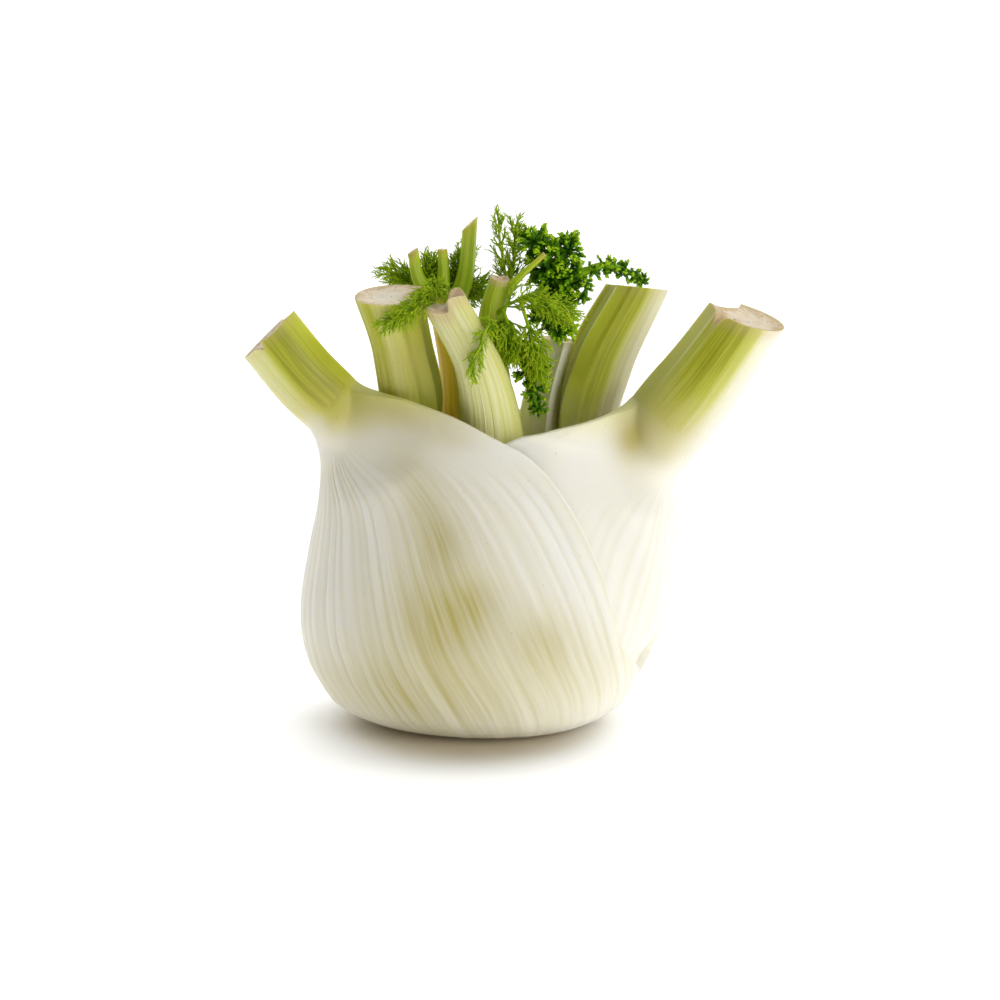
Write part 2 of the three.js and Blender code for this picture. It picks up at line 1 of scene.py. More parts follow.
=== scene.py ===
"""Fresh fennel bulb: the looks of the part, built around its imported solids.

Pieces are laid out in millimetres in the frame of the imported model: +Z up, the front of the bulb
towards -Y. They are turned into metres when their meshes are made.
"""

from __future__ import annotations

import logging
import math
from dataclasses import dataclass
from enum import Enum
from functools import cached_property

import bpy
import numpy as np
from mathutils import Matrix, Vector

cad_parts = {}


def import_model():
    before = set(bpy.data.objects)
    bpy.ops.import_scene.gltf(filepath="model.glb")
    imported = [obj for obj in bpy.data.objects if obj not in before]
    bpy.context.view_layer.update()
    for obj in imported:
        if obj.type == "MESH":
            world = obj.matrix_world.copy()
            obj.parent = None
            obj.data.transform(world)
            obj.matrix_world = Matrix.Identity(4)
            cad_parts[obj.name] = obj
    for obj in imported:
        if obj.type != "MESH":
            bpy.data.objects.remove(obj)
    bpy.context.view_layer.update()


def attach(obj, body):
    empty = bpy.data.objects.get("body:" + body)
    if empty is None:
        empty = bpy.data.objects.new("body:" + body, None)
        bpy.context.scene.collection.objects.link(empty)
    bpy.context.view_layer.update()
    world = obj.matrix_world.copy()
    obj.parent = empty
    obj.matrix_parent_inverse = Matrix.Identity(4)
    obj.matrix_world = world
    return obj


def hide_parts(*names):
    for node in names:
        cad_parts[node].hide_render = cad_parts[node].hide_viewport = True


LOG = logging.getLogger("fennel_bulb")
MM = 0.001
BODY = "root"
# Numbers that the random draws start from
STEM_SEED = 11
LEAF_SEED = 21
FROND_SEED = 61

Array = np.ndarray
Pair = tuple[float, float]
Point = tuple[float, float, float]
Rgba = tuple[float, float, float, float]


class Slot(Enum):
    """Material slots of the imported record."""

    STEM = "stem"
    SHEATH = "sheath"
    STALK = "stalk"
    CURLY = "curly_frond"
    FEATHERY = "feathery_frond"


def linear(colour: str) -> Rgba:
    """Turns an sRGB hex colour into linear light.

    Args:
        colour: Colour as #rrggbb.

    Returns:
        Red, green, blue and alpha.
    """
    shares = [int(colour[i : i + 2], 16) / 255 for i in (1, 3, 5)]
    red, green, blue = (s / 12.92 if s <= 0.04045 else ((s + 0.055) / 1.055) ** 2.4 for s in shares)
    return red, green, blue, 1.0


def ramp(value: Array | float, low: Array | float, high: Array | float) -> Array:
    """Rises smoothly from 0 at low to 1 at high.

    Args:
        value: Where to read the rise.
        low: Start of the rise.
        high: End of the rise.

    Returns:
        Shares from 0 to 1.
    """
    share = np.clip((np.asarray(value, float) - low) / (np.asarray(high, float) - low), 0, 1)
    return share * share * (3 - 2 * share)


def mix(first: Array | float, second: Array | float, share: Array | float) -> Array | float:
    """Blends two values, the first at share 0 and the second at share 1."""
    return first + (second - first) * share


def unit(vectors: Array) -> Array:
    """Scales vectors, along the last axis, to length 1."""
    return vectors / np.maximum(np.linalg.norm(vectors, axis=-1, keepdims=True), 1e-9)


def dot(first: Array, second: Array) -> Array:
    """Dot product along the last axis, which is kept."""
    return np.sum(first * second, axis=-1, keepdims=True)


class Profile:
    """Smooth curve through (key, value) points, level beyond both ends."""

    def __init__(self, *points: Pair) -> None:
        """Keeps the points and works out the slope at each of them.

        Args:
            points: Keys and values, in rising order of the keys.
        """
        number = np.arange(len(points))
        before = np.maximum(number - 1, 0)
        after = np.minimum(number + 1, len(points) - 1)
        self.keys = np.array([key for key, _ in points], float)
        self.values = np.array([value for _, value in points], float)
        self.slopes = (self.values[after] - self.values[before]) / (self.keys[after] - self.keys[before])

    def at(self, key: Array | float) -> Array:
        """Reads the curve.

        Args:
            key: Where to read it.

        Returns:
            Values of the curve, one for each key.
        """
        key = np.asarray(key, float)
        here = np.clip(np.searchsorted(self.keys, key, side="right") - 1, 0, len(self.keys) - 2)
        step = self.keys[here + 1] - self.keys[here]
        share = np.clip((key - self.keys[here]) / step, 0, 1)
        change = self.values[here + 1] - self.values[here]
        leaving = self.slopes[here] * step - change
        arriving = self.slopes[here + 1] * step - change
        bow = share * (1 - share) * ((1 - share) * leaving - share * arriving)
        return self.values[here] + share * change + bow


class Spine:
    """Smooth centre line through points."""

    def __init__(self, *points: Point, straight: int | None = None) -> None:
        """Works out the stretches between the points.

        Args:
            points: Points that the line passes through.
            straight: Number of the point from which the line sets out straight for the next one, if any.
        """
        inner = np.array(points, float)
        line = np.vstack([2 * inner[0] - inner[1], inner, 2 * inner[-1] - inner[-2]])
        gaps = np.sqrt(np.linalg.norm(np.diff(line, axis=0), axis=1))[:, None]
        before, here, after = gaps[:-2], gaps[1:-1], gaps[2:]
        p0, p1, p2, p3 = line[:-3], line[1:-2], line[2:-1], line[3:]
        self.starts = p1
        self.ends = p2
        self.leaving = ((p1 - p0) / before - (p2 - p0) / (before + here) + (p2 - p1) / here) * here
        self.arriving = ((p2 - p1) / here - (p3 - p1) / (here + after) + (p3 - p2) / after) * here
        if straight is not None:
            reach = np.linalg.norm(self.ends - self.starts, axis=1)
            self.leaving[straight] = self.ends[straight] - self.starts[straight]
            self.arriving[straight - 1] = self.leaving[straight] * reach[straight - 1] / reach[straight]

    def _locate(self, share: Array) -> tuple[Array, Array]:
        """Finds the stretch that a share of the line falls in, and the share within it."""
        count = len(self.starts)
        number = np.clip(np.floor(share * count).astype(int), 0, count - 1)
        return number, (share * count - number)[..., None]

    def at(self, share: Array) -> Array:
        """Reads points of the line.

        Args:
            share: Shares from 0 at the start to 1 at the end, equal for every stretch.

        Returns:
            Points, with their coordinates along a new last axis.
        """
        n, w = self._locate(np.asarray(share, float))
        start, end, leaving, arriving = self.starts[n], self.ends[n], self.leaving[n], self.arriving[n]
        curl = (2 * start - 2 * end + leaving + arriving) * w**3
        bend = (3 * end - 3 * start - 2 * leaving - arriving) * w**2
        return start + leaving * w + bend + curl

    def tangent(self, share: Array) -> Array:
        """Reads unit directions of the line, at shares as in at()."""
        n, w = self._locate(np.asarray(share, float))
        start, end, leaving, arriving = self.starts[n], self.ends[n], self.leaving[n], self.arriving[n]
        curl = (2 * start - 2 * end + leaving + arriving) * 3 * w**2
        bend = (3 * end - 3 * start - 2 * leaving - arriving) * 2 * w
        return unit(leaving + bend + curl)

    def stops(self, count: int) -> Array:
        """Spaces points evenly along the line.

        Args:
            count: How many points.

        Returns:
            Points from the start to the end.
        """
        fine = np.linspace(0, 1, 40 * len(self.starts))
        lengths = np.linalg.norm(np.diff(self.at(fine), axis=0), axis=1)
        reached = np.concatenate([[0], np.cumsum(lengths)])
        return self.at(np.interp(np.linspace(0, reached[-1], count), reached, fine))


class SmoothNoise:
    """Repeatable smooth noise from -1 to 1 in space."""

    SIDE = 24

    def __init__(self, seed: int) -> None:
        """Draws the lattice of values.

        Args:
            seed: Number that the draw starts from.
        """
        self.lattice = np.random.default_rng(seed).uniform(-1, 1, (self.SIDE,) * 3)

    def at(self, points: Array, size: float) -> Array:
        """Reads the noise.

        Args:
            points: Points in space, in mm.
            size: Distance between neighbouring lumps, in mm.

        Returns:
            One value for each point.
        """
        cell = points / size
        low = np.floor(cell).astype(int)
        near = cell - low
        near = near * near * (3 - 2 * near)
        total = np.zeros(points.shape[:-1])
        for corner in np.ndindex(2, 2, 2):
            x, y, z = np.moveaxis((low + corner) % self.SIDE, -1, 0)
            weights = np.where(np.array(corner) == 1, near, 1 - near)
            total += self.lattice[x, y, z] * np.prod(weights, axis=-1)
        return total


class Shape:
    """Points, faces and attributes of one piece while it is built, in mm."""

    def __init__(self) -> None:
        """Starts with nothing."""
        self.points: list[Array] = []
        self.faces: list[list[int]] = []
        self.face_slots: list[int] = []
        self.values: list[dict[str, Array]] = []
        self.count = 0

    def add(self, points: Array, faces: list[list[int]], slot: int = 0, **values: Array) -> int:
        """Adds points, and faces that count from the first of them.

        Args:
            points: Points, one to a row.
            faces: Corners of each face.
            slot: Material slot of the faces.
            values: Attributes of the points by name, single numbers or vectors.

        Returns:
            Number of the first point added.
        """
        first = self.count
        self.points.append(points)
        self.values.append(values)
        self.add_faces([[first + corner for corner in face] for face in faces], slot)
        self.count += len(points)
        return first

    def add_faces(self, faces: list[list[int]], slot: int = 0) -> None:
        """Adds faces between points that are there already.

        Args:
            faces: Corners of each face, counted in the whole shape.
            slot: Material slot of the faces.
        """
        self.faces.extend(faces)
        self.face_slots.extend([slot] * len(faces))

    def attribute(self, name: str) -> Array:
        """Joins the values of one attribute over all points, with zeros where it wasn't given.

        Args:
            name: Name of the attribute.

        Returns:
            One number or vector for each point.
        """
        width = next(np.asarray(v[name]).shape[1:] for v in self.values if name in v)
        blocks = []
        for points, values in zip(self.points, self.values):
            blocks.append(np.asarray(values.get(name, np.zeros((len(points), *width))), float))
        return np.concatenate(blocks)

    def volume(self, points: Array) -> float:
        """Measures the signed volume inside the faces, positive where they face outwards."""
        total = 0.0
        for corners in {len(face) for face in self.faces}:
            places = points[[face for face in self.faces if len(face) == corners]]
            for i in range(1, corners - 1):
                total += float(np.sum(places[:, 0] * np.cross(places[:, i], places[:, i + 1])))
        return total

    def to_object(
        self, name: str, materials: list[bpy.types.Material], crease: float | None
    ) -> bpy.types.Object:
        """Makes the Blender object.

        Args:
            name: Name of the piece.
            materials: Materials by slot.
            crease: Angle above which an edge stays sharp, in degrees, or None where all is smooth.

        Returns:
            The object, linked to the scene.
        """
        points = np.concatenate(self.points)
        faces = self.faces
        if self.volume(points) < 0:
            faces = [face[::-1] for face in faces]
        mesh = bpy.data.meshes.new(name)
        mesh.from_pydata((points * MM).tolist(), [], faces)
        for material in materials:
            mesh.materials.append(material)
        mesh.polygons.foreach_set("material_index", self.face_slots)
        names = sorted({key for values in self.values for key in values})
        for key in names:
            data = self.attribute(key)
            kind, field = ("FLOAT", "value") if data.ndim == 1 else ("FLOAT_VECTOR", "vector")
            mesh.attributes.new(key, kind, "POINT").data.foreach_set(field, data.astype(np.float32).ravel())
        mesh.shade_smooth()
        if crease is not None:
            mesh.set_sharp_from_angle(angle=math.radians(crease))
        mesh.update()
        piece = bpy.data.objects.new(name, mesh)
        bpy.context.scene.collection.objects.link(piece)
        return piece


def ring_faces(rows: int, columns: int) -> list[list[int]]:
    """Lists the faces between rings that follow each other.

    Args:
        rows: Number of rings.
        columns: Points in each ring, which closes on itself.

    Returns:
        Four corners for each face.
    """
    row, column = np.meshgrid(np.arange(rows - 1), np.arange(columns), indexing="ij")
    after = (column + 1) % columns
    corners = [row * columns + column, row * columns + after]
    corners += [(row + 1) * columns + after, (row + 1) * columns + column]
    return np.stack(corners, -1).reshape(-1, 4).tolist()


def add_node(
    tree: bpy.types.NodeTree,
    kind: str,
    inputs: dict[str | int, object] | None = None,
    stops: list[tuple[float, str]] | None = None,
    **settings: object,
) -> bpy.types.Node:
    """Adds a node with its settings and links.

    Args:
        tree: Node tree that takes the node.
        kind: Blender's name of the kind of node.
        inputs: Values, or sockets to link from, by the name or number of the input.
        stops: Places and hex colours of a colour ramp.
        settings: Properties of the node.

    Returns:
        The node.
    """
    node = tree.nodes.new(kind)
    for name, value in settings.items():
        setattr(node, name, value)
    for key, value in (inputs or {}).items():
        if isinstance(value, bpy.types.NodeSocket):
            tree.links.new(value, node.inputs[key])
        else:
            node.inputs[key].default_value = value
    if stops:
        elements = node.color_ramp.elements
        while len(elements) < len(stops):
            elements.new(0.5)
        for element, (place, colour) in zip(elements, stops):
            element.position = place
            element.color = linear(colour)
    return node


class Finish:
    """A finish: one procedural material, made when it is first asked for."""

    name: str

    @cached_property
    def material(self) -> bpy.types.Material:
        """Material with its nodes."""
        made = bpy.data.materials.new(self.name)
        made.use_nodes = True
        made.node_tree.nodes.clear()
        inputs = self.shade(made.node_tree)
        shader = add_node(made.node_tree, "ShaderNodeBsdfPrincipled", inputs)
        add_node(made.node_tree, "ShaderNodeOutputMaterial", {"Surface": shader.outputs["BSDF"]})
        return made

    def shade(self, tree: bpy.types.NodeTree) -> dict[str, object]:
        """Builds the nodes that feed the shader, by its inputs; each finish has its own."""
        raise NotImplementedError


@dataclass(frozen=True)
class WaxySkin(Finish):
    """Waxy epidermis of a leaf base and stalk: white where earthed up, green where light reached it."""

    # Thin wax over juicy white cells: soft light from inside, a satin sheen, strands that show as streaks
    name: str = "fennel_waxy_skin"
    blanched: str = "#f2efe4"
    ivory: str = "#ebe7c6"
    pale_green: str = "#d7d77e"
    leaf_green: str = "#bcc034"
    deep_green: str = "#979800"
    furrow: str = "#d8d0a4"
    # Flesh showing through, painted shade, and browned stub tips
    bruise_and_shade: str = "#b9ac5a"
    scuff: str = "#a98d5c"
    dried: str = "#cdb18a"
    streak_width: float = 1.6
    streak_length: float = 45.0
    fibre_width: float = 0.35
    fibre_length: float = 9.0
    patch: float = 9.0
    speck: float = 1.1

    def shade(self, tree: bpy.types.NodeTree) -> dict[str, object]:
        """Builds the nodes of the finish.

        Args:
            tree: Node tree of the material.

        Returns:
            Inputs of the shader by name.
        """
        grain = add_node(tree, "ShaderNodeAttribute", attribute_name="grain").outputs["Vector"]
        names = ("greening", "ageing", "tinge", "rib", "drying")
        greening, ageing, tinge, rib, drying = (
            add_node(tree, "ShaderNodeAttribute", attribute_name=name).outputs["Fac"] for name in names
        )
        place = add_node(tree, "ShaderNodeTexCoord").outputs["Object"]
        along = (1 / self.streak_width, 1 / self.streak_length, 1)
        stretched = add_node(tree, "ShaderNodeVectorMath", {0: grain, 1: along}, operation="MULTIPLY")
        streaks = add_node(
            tree,
            "ShaderNodeTexNoise",
            {"Vector": stretched.outputs[0], "Scale": 1.0, "Detail": 3.0, "Roughness": 0.6},
        )
        shift = add_node(
            tree, "ShaderNodeMapRange", {"Value": streaks.outputs[0], 1: 0.3, 2: 0.7, 3: -0.26, 4: 0.26}
        )
        weight = add_node(
            tree,
            "ShaderNodeMath",
            {0: shift.outputs[0], 1: greening, 2: greening},
            operation="MULTIPLY_ADD",
        )
        stops = [
            (0.0, self.blanched),
            (0.16, self.ivory),
            (0.42, self.pale_green),
            (0.72, self.leaf_green),
            (1.0, self.deep_green),
        ]
        # Greening shares, white to deep green, carrying painted shade and painted light from the tones
        leaf = add_node(tree, "ShaderNodeValToRGB", {0: weight.outputs[0]}, stops)
        # Furrows darkened by the furrow colour: partly their own colour, partly painted shade in the
        # grooves
        hollow = add_node(tree, "ShaderNodeMapRange", {"Value": rib, 1: 0.0, 2: 0.55, 3: 0.3, 4: 0.0})
        furrowed = add_node(
            tree,
            "ShaderNodeMix",
            {0: hollow.outputs[0], 6: leaf.outputs[0], 7: linear(self.furrow)},
            data_type="RGBA",
            blend_type="MULTIPLY",
        )
        patch = add_node(
            tree, "ShaderNodeTexNoise", {"Vector": place, "Scale": 1 / (self.patch * MM), "Detail": 4.0}
        )
        blotch = add_node(
            tree, "ShaderNodeMapRange", {"Value": streaks.outputs[0], 1: 0.3, 2: 0.7, 3: 0.55, 4: 1.4}
        )
        # Patches mix in the bruise colour: flesh showing through, painted shade, and the browned tips of
        # stubs
        blush_and_shade_weight = add_node(
            tree,
            "ShaderNodeMath",
            {0: blotch.outputs[0], 1: ageing, 2: tinge},
            operation="MULTIPLY_ADD",
            use_clamp=True,
        )
        blushed_and_shaded = add_node(
            tree,
            "ShaderNodeMix",
            {0: blush_and_shade_weight.outputs[0], 6: furrowed.outputs[2], 7: linear(self.bruise_and_shade)},
            data_type="RGBA",
        )
        specks = add_node(
            tree, "ShaderNodeTexNoise", {"Vector": place, "Scale": 1 / (self.speck * MM), "Detail": 2.0}
        )
        marks = add_node(
            tree, "ShaderNodeMapRange", {"Value": specks.outputs[0], 1: 0.7, 2: 0.8, 3: 0.0, 4: 0.35}
        )
        scuffed = add_node(
            tree,
            "ShaderNodeMix",
            {0: marks.outputs[0], 6: blushed_and_shaded.outputs[2], 7: linear(self.scuff)},
            data_type="RGBA",
        )
        parched = add_node(
            tree,
            "ShaderNodeMix",
            {0: drying, 6: scuffed.outputs[2], 7: linear(self.dried)},
            data_type="RGBA",
        )
        fine = (1 / self.fibre_width, 1 / self.fibre_length, 1)
        threads = add_node(tree, "ShaderNodeVectorMath", {0: grain, 1: fine}, operation="MULTIPLY")
        fibres = add_node(
            tree, "ShaderNodeTexNoise", {"Vector": threads.outputs[0], "Scale": 1.0, "Detail": 2.0}
        )
        relief = add_node(
            tree, "ShaderNodeBump", {"Strength": 0.35, "Distance": 0.15 * MM, "Height": fibres.outputs[0]}
        )
        gloss = add_node(
            tree, "ShaderNodeMapRange", {"Value": patch.outputs[0], 1: 0.3, 2: 0.7, 3: 0.34, 4: 0.5}
        )
        return {
            "Base Color": parched.outputs[2],
            "Roughness": gloss.outputs[0],
            "IOR": 1.4,
            "Subsurface Weight": 0.4,
            "Subsurface Radius": (1.0, 0.9, 0.4),
            "Subsurface Scale": 3.5 * MM,
            "Normal": relief.outputs[0],
        }


@dataclass(frozen=True)
class FreshCut(Finish):
    """Knife-cut face of a stalk: moist pith, strands cut across, a rim that has begun to brown."""

    # Wet cut cells scatter light and have little sheen; the strands show as dots and the rim dries first
    name: str = "fennel_fresh_cut"
    pith: str = "#f5eedc"
    flesh: str = "#eee1c6"
    browned: str = "#d0bb92"
    rind: str = "#c9c084"
    dried: str = "#d2b58c"
    strand: str = "#8d6636"
    strand_spacing: float = 1.7
    patch: float = 2.4
    cell: float = 0.45

    def shade(self, tree: bpy.types.NodeTree) -> dict[str, object]:
        """Builds the nodes of the finish.

        Args:
            tree: Node tree of the material.

        Returns:
            Inputs of the shader by name.
        """
        rim = add_node(tree, "ShaderNodeAttribute", attribute_name="rim").outputs["Fac"]
        drying = add_node(tree, "ShaderNodeAttribute", attribute_name="drying").outputs["Fac"]
        place = add_node(tree, "ShaderNodeTexCoord").outputs["Object"]
        cloud = add_node(
            tree, "ShaderNodeTexNoise", {"Vector": place, "Scale": 1 / (self.patch * MM), "Detail": 4.0}
        )
        waver = add_node(
            tree, "ShaderNodeMapRange", {"Value": cloud.outputs[0], 1: 0.3, 2: 0.7, 3: -0.2, 4: 0.16}
        )
        ringed = add_node(tree, "ShaderNodeMath", {0: rim, 1: waver.outputs[0]}, operation="ADD")
        stops = [(0.0, self.pith), (0.66, self.flesh), (0.9, self.browned), (1.0, self.rind)]
        fresh = add_node(tree, "ShaderNodeValToRGB", {0: ringed.outputs[0]}, stops)
        uneven = add_node(
            tree, "ShaderNodeMapRange", {"Value": cloud.outputs[0], 1: 0.3, 2: 0.7, 3: 0.3, 4: 1.1}
        )
        browning = add_node(
            tree,
            "ShaderNodeMath",
            {0: uneven.outputs[0], 1: drying},
            operation="MULTIPLY",
            use_clamp=True,
        )
        layers = add_node(
            tree,
            "ShaderNodeMix",
            {0: browning.outputs[0], 6: fresh.outputs[0], 7: linear(self.dried)},
            data_type="RGBA",
        )
        dots = add_node(
            tree,
            "ShaderNodeTexVoronoi",
            {"Vector": place, "Scale": 1 / (self.strand_spacing * MM)},
            feature="F1",
        )
        ends = add_node(
            tree, "ShaderNodeMapRange", {"Value": dots.outputs[0], 1: 0.1, 2: 0.24, 3: 0.6, 4: 0.0}
        )
        stranded = add_node(
            tree,
            "ShaderNodeMix",
            {0: ends.outputs[0], 6: layers.outputs[2], 7: linear(self.strand)},
            data_type="RGBA",
        )
        cells = add_node(
            tree, "ShaderNodeTexNoise", {"Vector": place, "Scale": 1 / (self.cell * MM), "Detail": 3.0}
        )
        relief = add_node(
            tree, "ShaderNodeBump", {"Strength": 0.6, "Distance": 0.25 * MM, "Height": cells.outputs[0]}
        )
        damp = add_node(
            tree, "ShaderNodeMapRange", {"Value": cloud.outputs[0], 1: 0.3, 2: 0.7, 3: 0.5, 4: 0.75}
        )
        return {
            "Base Color": stranded.outputs[2],
            "Roughness": damp.outputs[0],
            "IOR": 1.38,
            "Subsurface Weight": 0.2,
            "Subsurface Radius": (1.0, 0.8, 0.5),
            "Subsurface Scale": 1.5 * MM,
            "Normal": relief.outputs[0],
        }


@dataclass(frozen=True)
class LeafThread(Finish):
    """Soft green tissue of thread leaves and curly young leaflets."""

    # Thin fresh leaves: matt, brighter towards the young tips, never quite one green; in the curly tufts
    # the darker inside is painted shade
    name: str
    old_and_shaded: str
    grown: str
    young: str
    roughness: Pair = (0.4, 0.6)
    patch: float = 3.5
    cell: float = 0.3

    def shade(self, tree: bpy.types.NodeTree) -> dict[str, object]:
        """Builds the nodes of the finish.

        Args:
            tree: Node tree of the material.

        Returns:
            Inputs of the shader by name.
        """
        youth = add_node(tree, "ShaderNodeAttribute", attribute_name="youth").outputs["Fac"]
        place = add_node(tree, "ShaderNodeTexCoord").outputs["Object"]
        cloud = add_node(
            tree, "ShaderNodeTexNoise", {"Vector": place, "Scale": 1 / (self.patch * MM), "Detail": 3.0}
        )
        shift = add_node(
            tree, "ShaderNodeMapRange", {"Value": cloud.outputs[0], 1: 0.3, 2: 0.7, 3: -0.25, 4: 0.25}
        )
        tone = add_node(tree, "ShaderNodeMath", {0: youth, 1: shift.outputs[0]}, operation="ADD")
        # The first stop also serves as painted shade inside the curly tufts
        stops = [(0.0, self.old_and_shaded), (0.5, self.grown), (1.0, self.young)]
        green = add_node(tree, "ShaderNodeValToRGB", {0: tone.outputs[0]}, stops)
        low, high = self.roughness
        dull = add_node(
            tree, "ShaderNodeMapRange", {"Value": cloud.outputs[0], 1: 0.3, 2: 0.7, 3: low, 4: high}
        )
        fine = add_node(
            tree, "ShaderNodeTexNoise", {"Vector": place, "Scale": 1 / (self.cell * MM), "Detail": 2.0}
        )
        relief = add_node(
            tree, "ShaderNodeBump", {"Strength": 0.3, "Distance": 0.05 * MM, "Height": fine.outputs[0]}
        )
        return {
            "Base Color": green.outputs[0],
            "Roughness": dull.outputs[0],
            "IOR": 1.42,
            "Specular IOR Level": 0.25,
            "Subsurface Weight": 0.15,
            "Subsurface Radius": (0.8, 1.0, 0.1),
            "Subsurface Scale": 0.6 * MM,
            "Normal": relief.outputs[0],
        }


@dataclass(frozen=True)
class RootScar(Finish):
    """Corky root scar and stem: dry, fibrous, trimmed flat."""

    # Cut across woody strands: dull tan with darker rings of strand ends
    name: str = "fennel_root_scar"
    cork: str = "#c9b88b"
    dry: str = "#a68a58"
    flesh: str = "#e0d8b8"
    grit: float = 1.4
    patch: float = 4.0

    def shade(self, tree: bpy.types.NodeTree) -> dict[str, object]:
        """Builds the nodes of the finish.

        Args:
            tree: Node tree of the material.

        Returns:
            Inputs of the shader by name.
        """
        place = add_node(tree, "ShaderNodeTexCoord").outputs["Object"]
        grains = add_node(tree, "ShaderNodeTexVoronoi", {"Vector": place, "Scale": 1 / (self.grit * MM)})
        cloud = add_node(
            tree, "ShaderNodeTexNoise", {"Vector": place, "Scale": 1 / (self.patch * MM), "Detail": 5.0}
        )
        blend = add_node(
            tree, "ShaderNodeMath", {0: grains.outputs[0], 1: cloud.outputs[0]}, operation="MULTIPLY"
        )
        stops = [(0.05, self.dry), (0.28, self.cork), (0.5, self.flesh)]
        tone = add_node(tree, "ShaderNodeValToRGB", {0: blend.outputs[0]}, stops)
        relief = add_node(
            tree, "ShaderNodeBump", {"Strength": 0.7, "Distance": 0.3 * MM, "Height": grains.outputs[0]}
        )
        dull = add_node(
            tree, "ShaderNodeMapRange", {"Value": cloud.outputs[0], 1: 0.3, 2: 0.7, 3: 0.65, 4: 0.9}
        )
        return {
            "Base Color": tone.outputs[0],
            "Roughness": dull.outputs[0],
            "IOR": 1.45,
            "Normal": relief.outputs[0],
        }


@dataclass(frozen=True)
class MattSweep(Finish):
    """Matt white floor that the bulb stands on, with a painted glow and a painted warm shadow."""

    # Painted glow: the floor glows white away from the bulb's foot and not near it, so the shadow round the
    # foot is partly real and partly painted; a warm tint is painted there as shadow colour; the faintest
    # mottle, no gloss
    name: str = "studio_matt_white"
    light: str = "#fbfbfa"
    shade_tone: str = "#f4f4f2"
    warm_shadow_tint: str = "#efe3cc"
    # Middle and size of the zone round the foot where the painted shadow lies
    foot: Point = (-5, 0, 0)
    foot_size: Point = (40, 44, 1000)
    painted_glow: Pair = (0.0, 0.46)
    patch: float = 60.0

    def shade(self, tree: bpy.types.NodeTree) -> dict[str, object]:
        """Builds the nodes of the finish.

        Args:
            tree: Node tree of the material.

        Returns:
            Inputs of the shader by name.
        """
        place = add_node(tree, "ShaderNodeTexCoord").outputs["Object"]
        cloud = add_node(
            tree, "ShaderNodeTexNoise", {"Vector": place, "Scale": 1 / (self.patch * MM), "Detail": 4.0}
        )
        stops = [(0.35, self.shade_tone), (0.65, self.light)]
        tone = add_node(tree, "ShaderNodeValToRGB", {0: cloud.outputs[0]}, stops)
        foot = [MM * x for x in self.foot]
        aside = add_node(tree, "ShaderNodeVectorMath", {0: place, 1: foot}, operation="SUBTRACT")
        size = [1 / (MM * x) for x in self.foot_size]
        scaled = add_node(
            tree, "ShaderNodeVectorMath", {0: aside.outputs[0], 1: size}, operation="MULTIPLY"
        )
        away = add_node(tree, "ShaderNodeVectorMath", {0: scaled.outputs[0]}, operation="LENGTH")
        # Painted warm shadow: the warm tint comes in close to the foot
        near = add_node(
            tree, "ShaderNodeMapRange", {"Value": away.outputs["Value"], 1: 0.6, 2: 1.0, 3: 1.0, 4: 0.0}
        )
        shadow_tinted = add_node(
            tree,
            "ShaderNodeMix",
            {0: near.outputs[0], 6: tone.outputs[0], 7: linear(self.warm_shadow_tint)},
            data_type="RGBA",
        )
        # Painted glow: it rises with distance from the foot and leaves the painted shadow near it
        low, high = self.painted_glow
        painted_glow = add_node(
            tree,
            "ShaderNodeMapRange",
            {"Value": away.outputs["Value"], 1: 0.7, 2: 1.4, 3: low, 4: high},
            interpolation_type="SMOOTHSTEP",
        )
        return {
            "Base Color": shadow_tinted.outputs[2],
            "Roughness": 0.9,
            "IOR": 1.3,
            "Emission Color": linear(self.light),
            "Emission Strength": painted_glow.outputs[0],
        }


@dataclass(frozen=True)
class Palette:
    """All finishes of the bulb."""

    skin: WaxySkin = WaxySkin()
    # Skin of the young inner stalks: golden where pale, a livelier green above
    young_skin: WaxySkin = WaxySkin(
        "fennel_young_skin",
        ivory="#e6d070",
        pale_green="#dcbc24",
        leaf_green="#bccf36",
        deep_green="#a6c418",
    )
    cut: FreshCut = FreshCut()
    scar: RootScar = RootScar()
    feathery: LeafThread = LeafThread("fennel_thread_leaf", "#5a8402", "#8cae06", "#bcd422")
    curly: LeafThread = LeafThread("fennel_curly_leaf", "#3a6c02", "#70a604", "#b4da1c")


@dataclass(frozen=True, eq=False)
class Outline:
    """Outline of the whole bulb: half width to each side and half depth against height."""

    left: Profile = Profile(
        (0, 24), (2, 34), (6, 42), (11, 46), (19, 50), (31, 51.4), (48, 49), (61, 46.6), (74, 45.2),
        (95, 39),
    )
    right: Profile = Profile(
        (0, 22), (2, 29), (6, 36), (11, 39.6), (19, 43.6), (31, 47.8), (48, 49.7), (66, 50),
        (78, 48), (95, 42),
    )
    depth: Profile = Profile(
        (0, 17), (2, 24), (6, 30), (11, 33.4), (19, 36.4), (31, 38.4), (48, 37), (66, 33),
        (82, 28.5), (95, 25),
    )

    def point(self, angle: Array, height: Array, sunk: Array) -> Array:
        """Finds points on the outline.

        Args:
            angle: Angles from the front towards the right, in radians.
            height: Heights above the floor.
            sunk: How far below the outline.

        Returns:
            Points, with their coordinates along a new last axis.
        """
        half_width = np.where(np.sin(angle) > 0, self.right.at(height), self.left.at(height)) - sunk
        half_depth = self.depth.at(height) - sunk
        return np.stack([half_width * np.sin(angle), -half_depth * np.cos(angle), height], -1)


@dataclass(frozen=True)
class Stub:
    """Cut branch at the top of an inner leaf."""

    path: tuple[Point, ...]
    sizes: Pair
    green: float = 0.75
    slant: float = 0.0
    burnt: float = 0.3


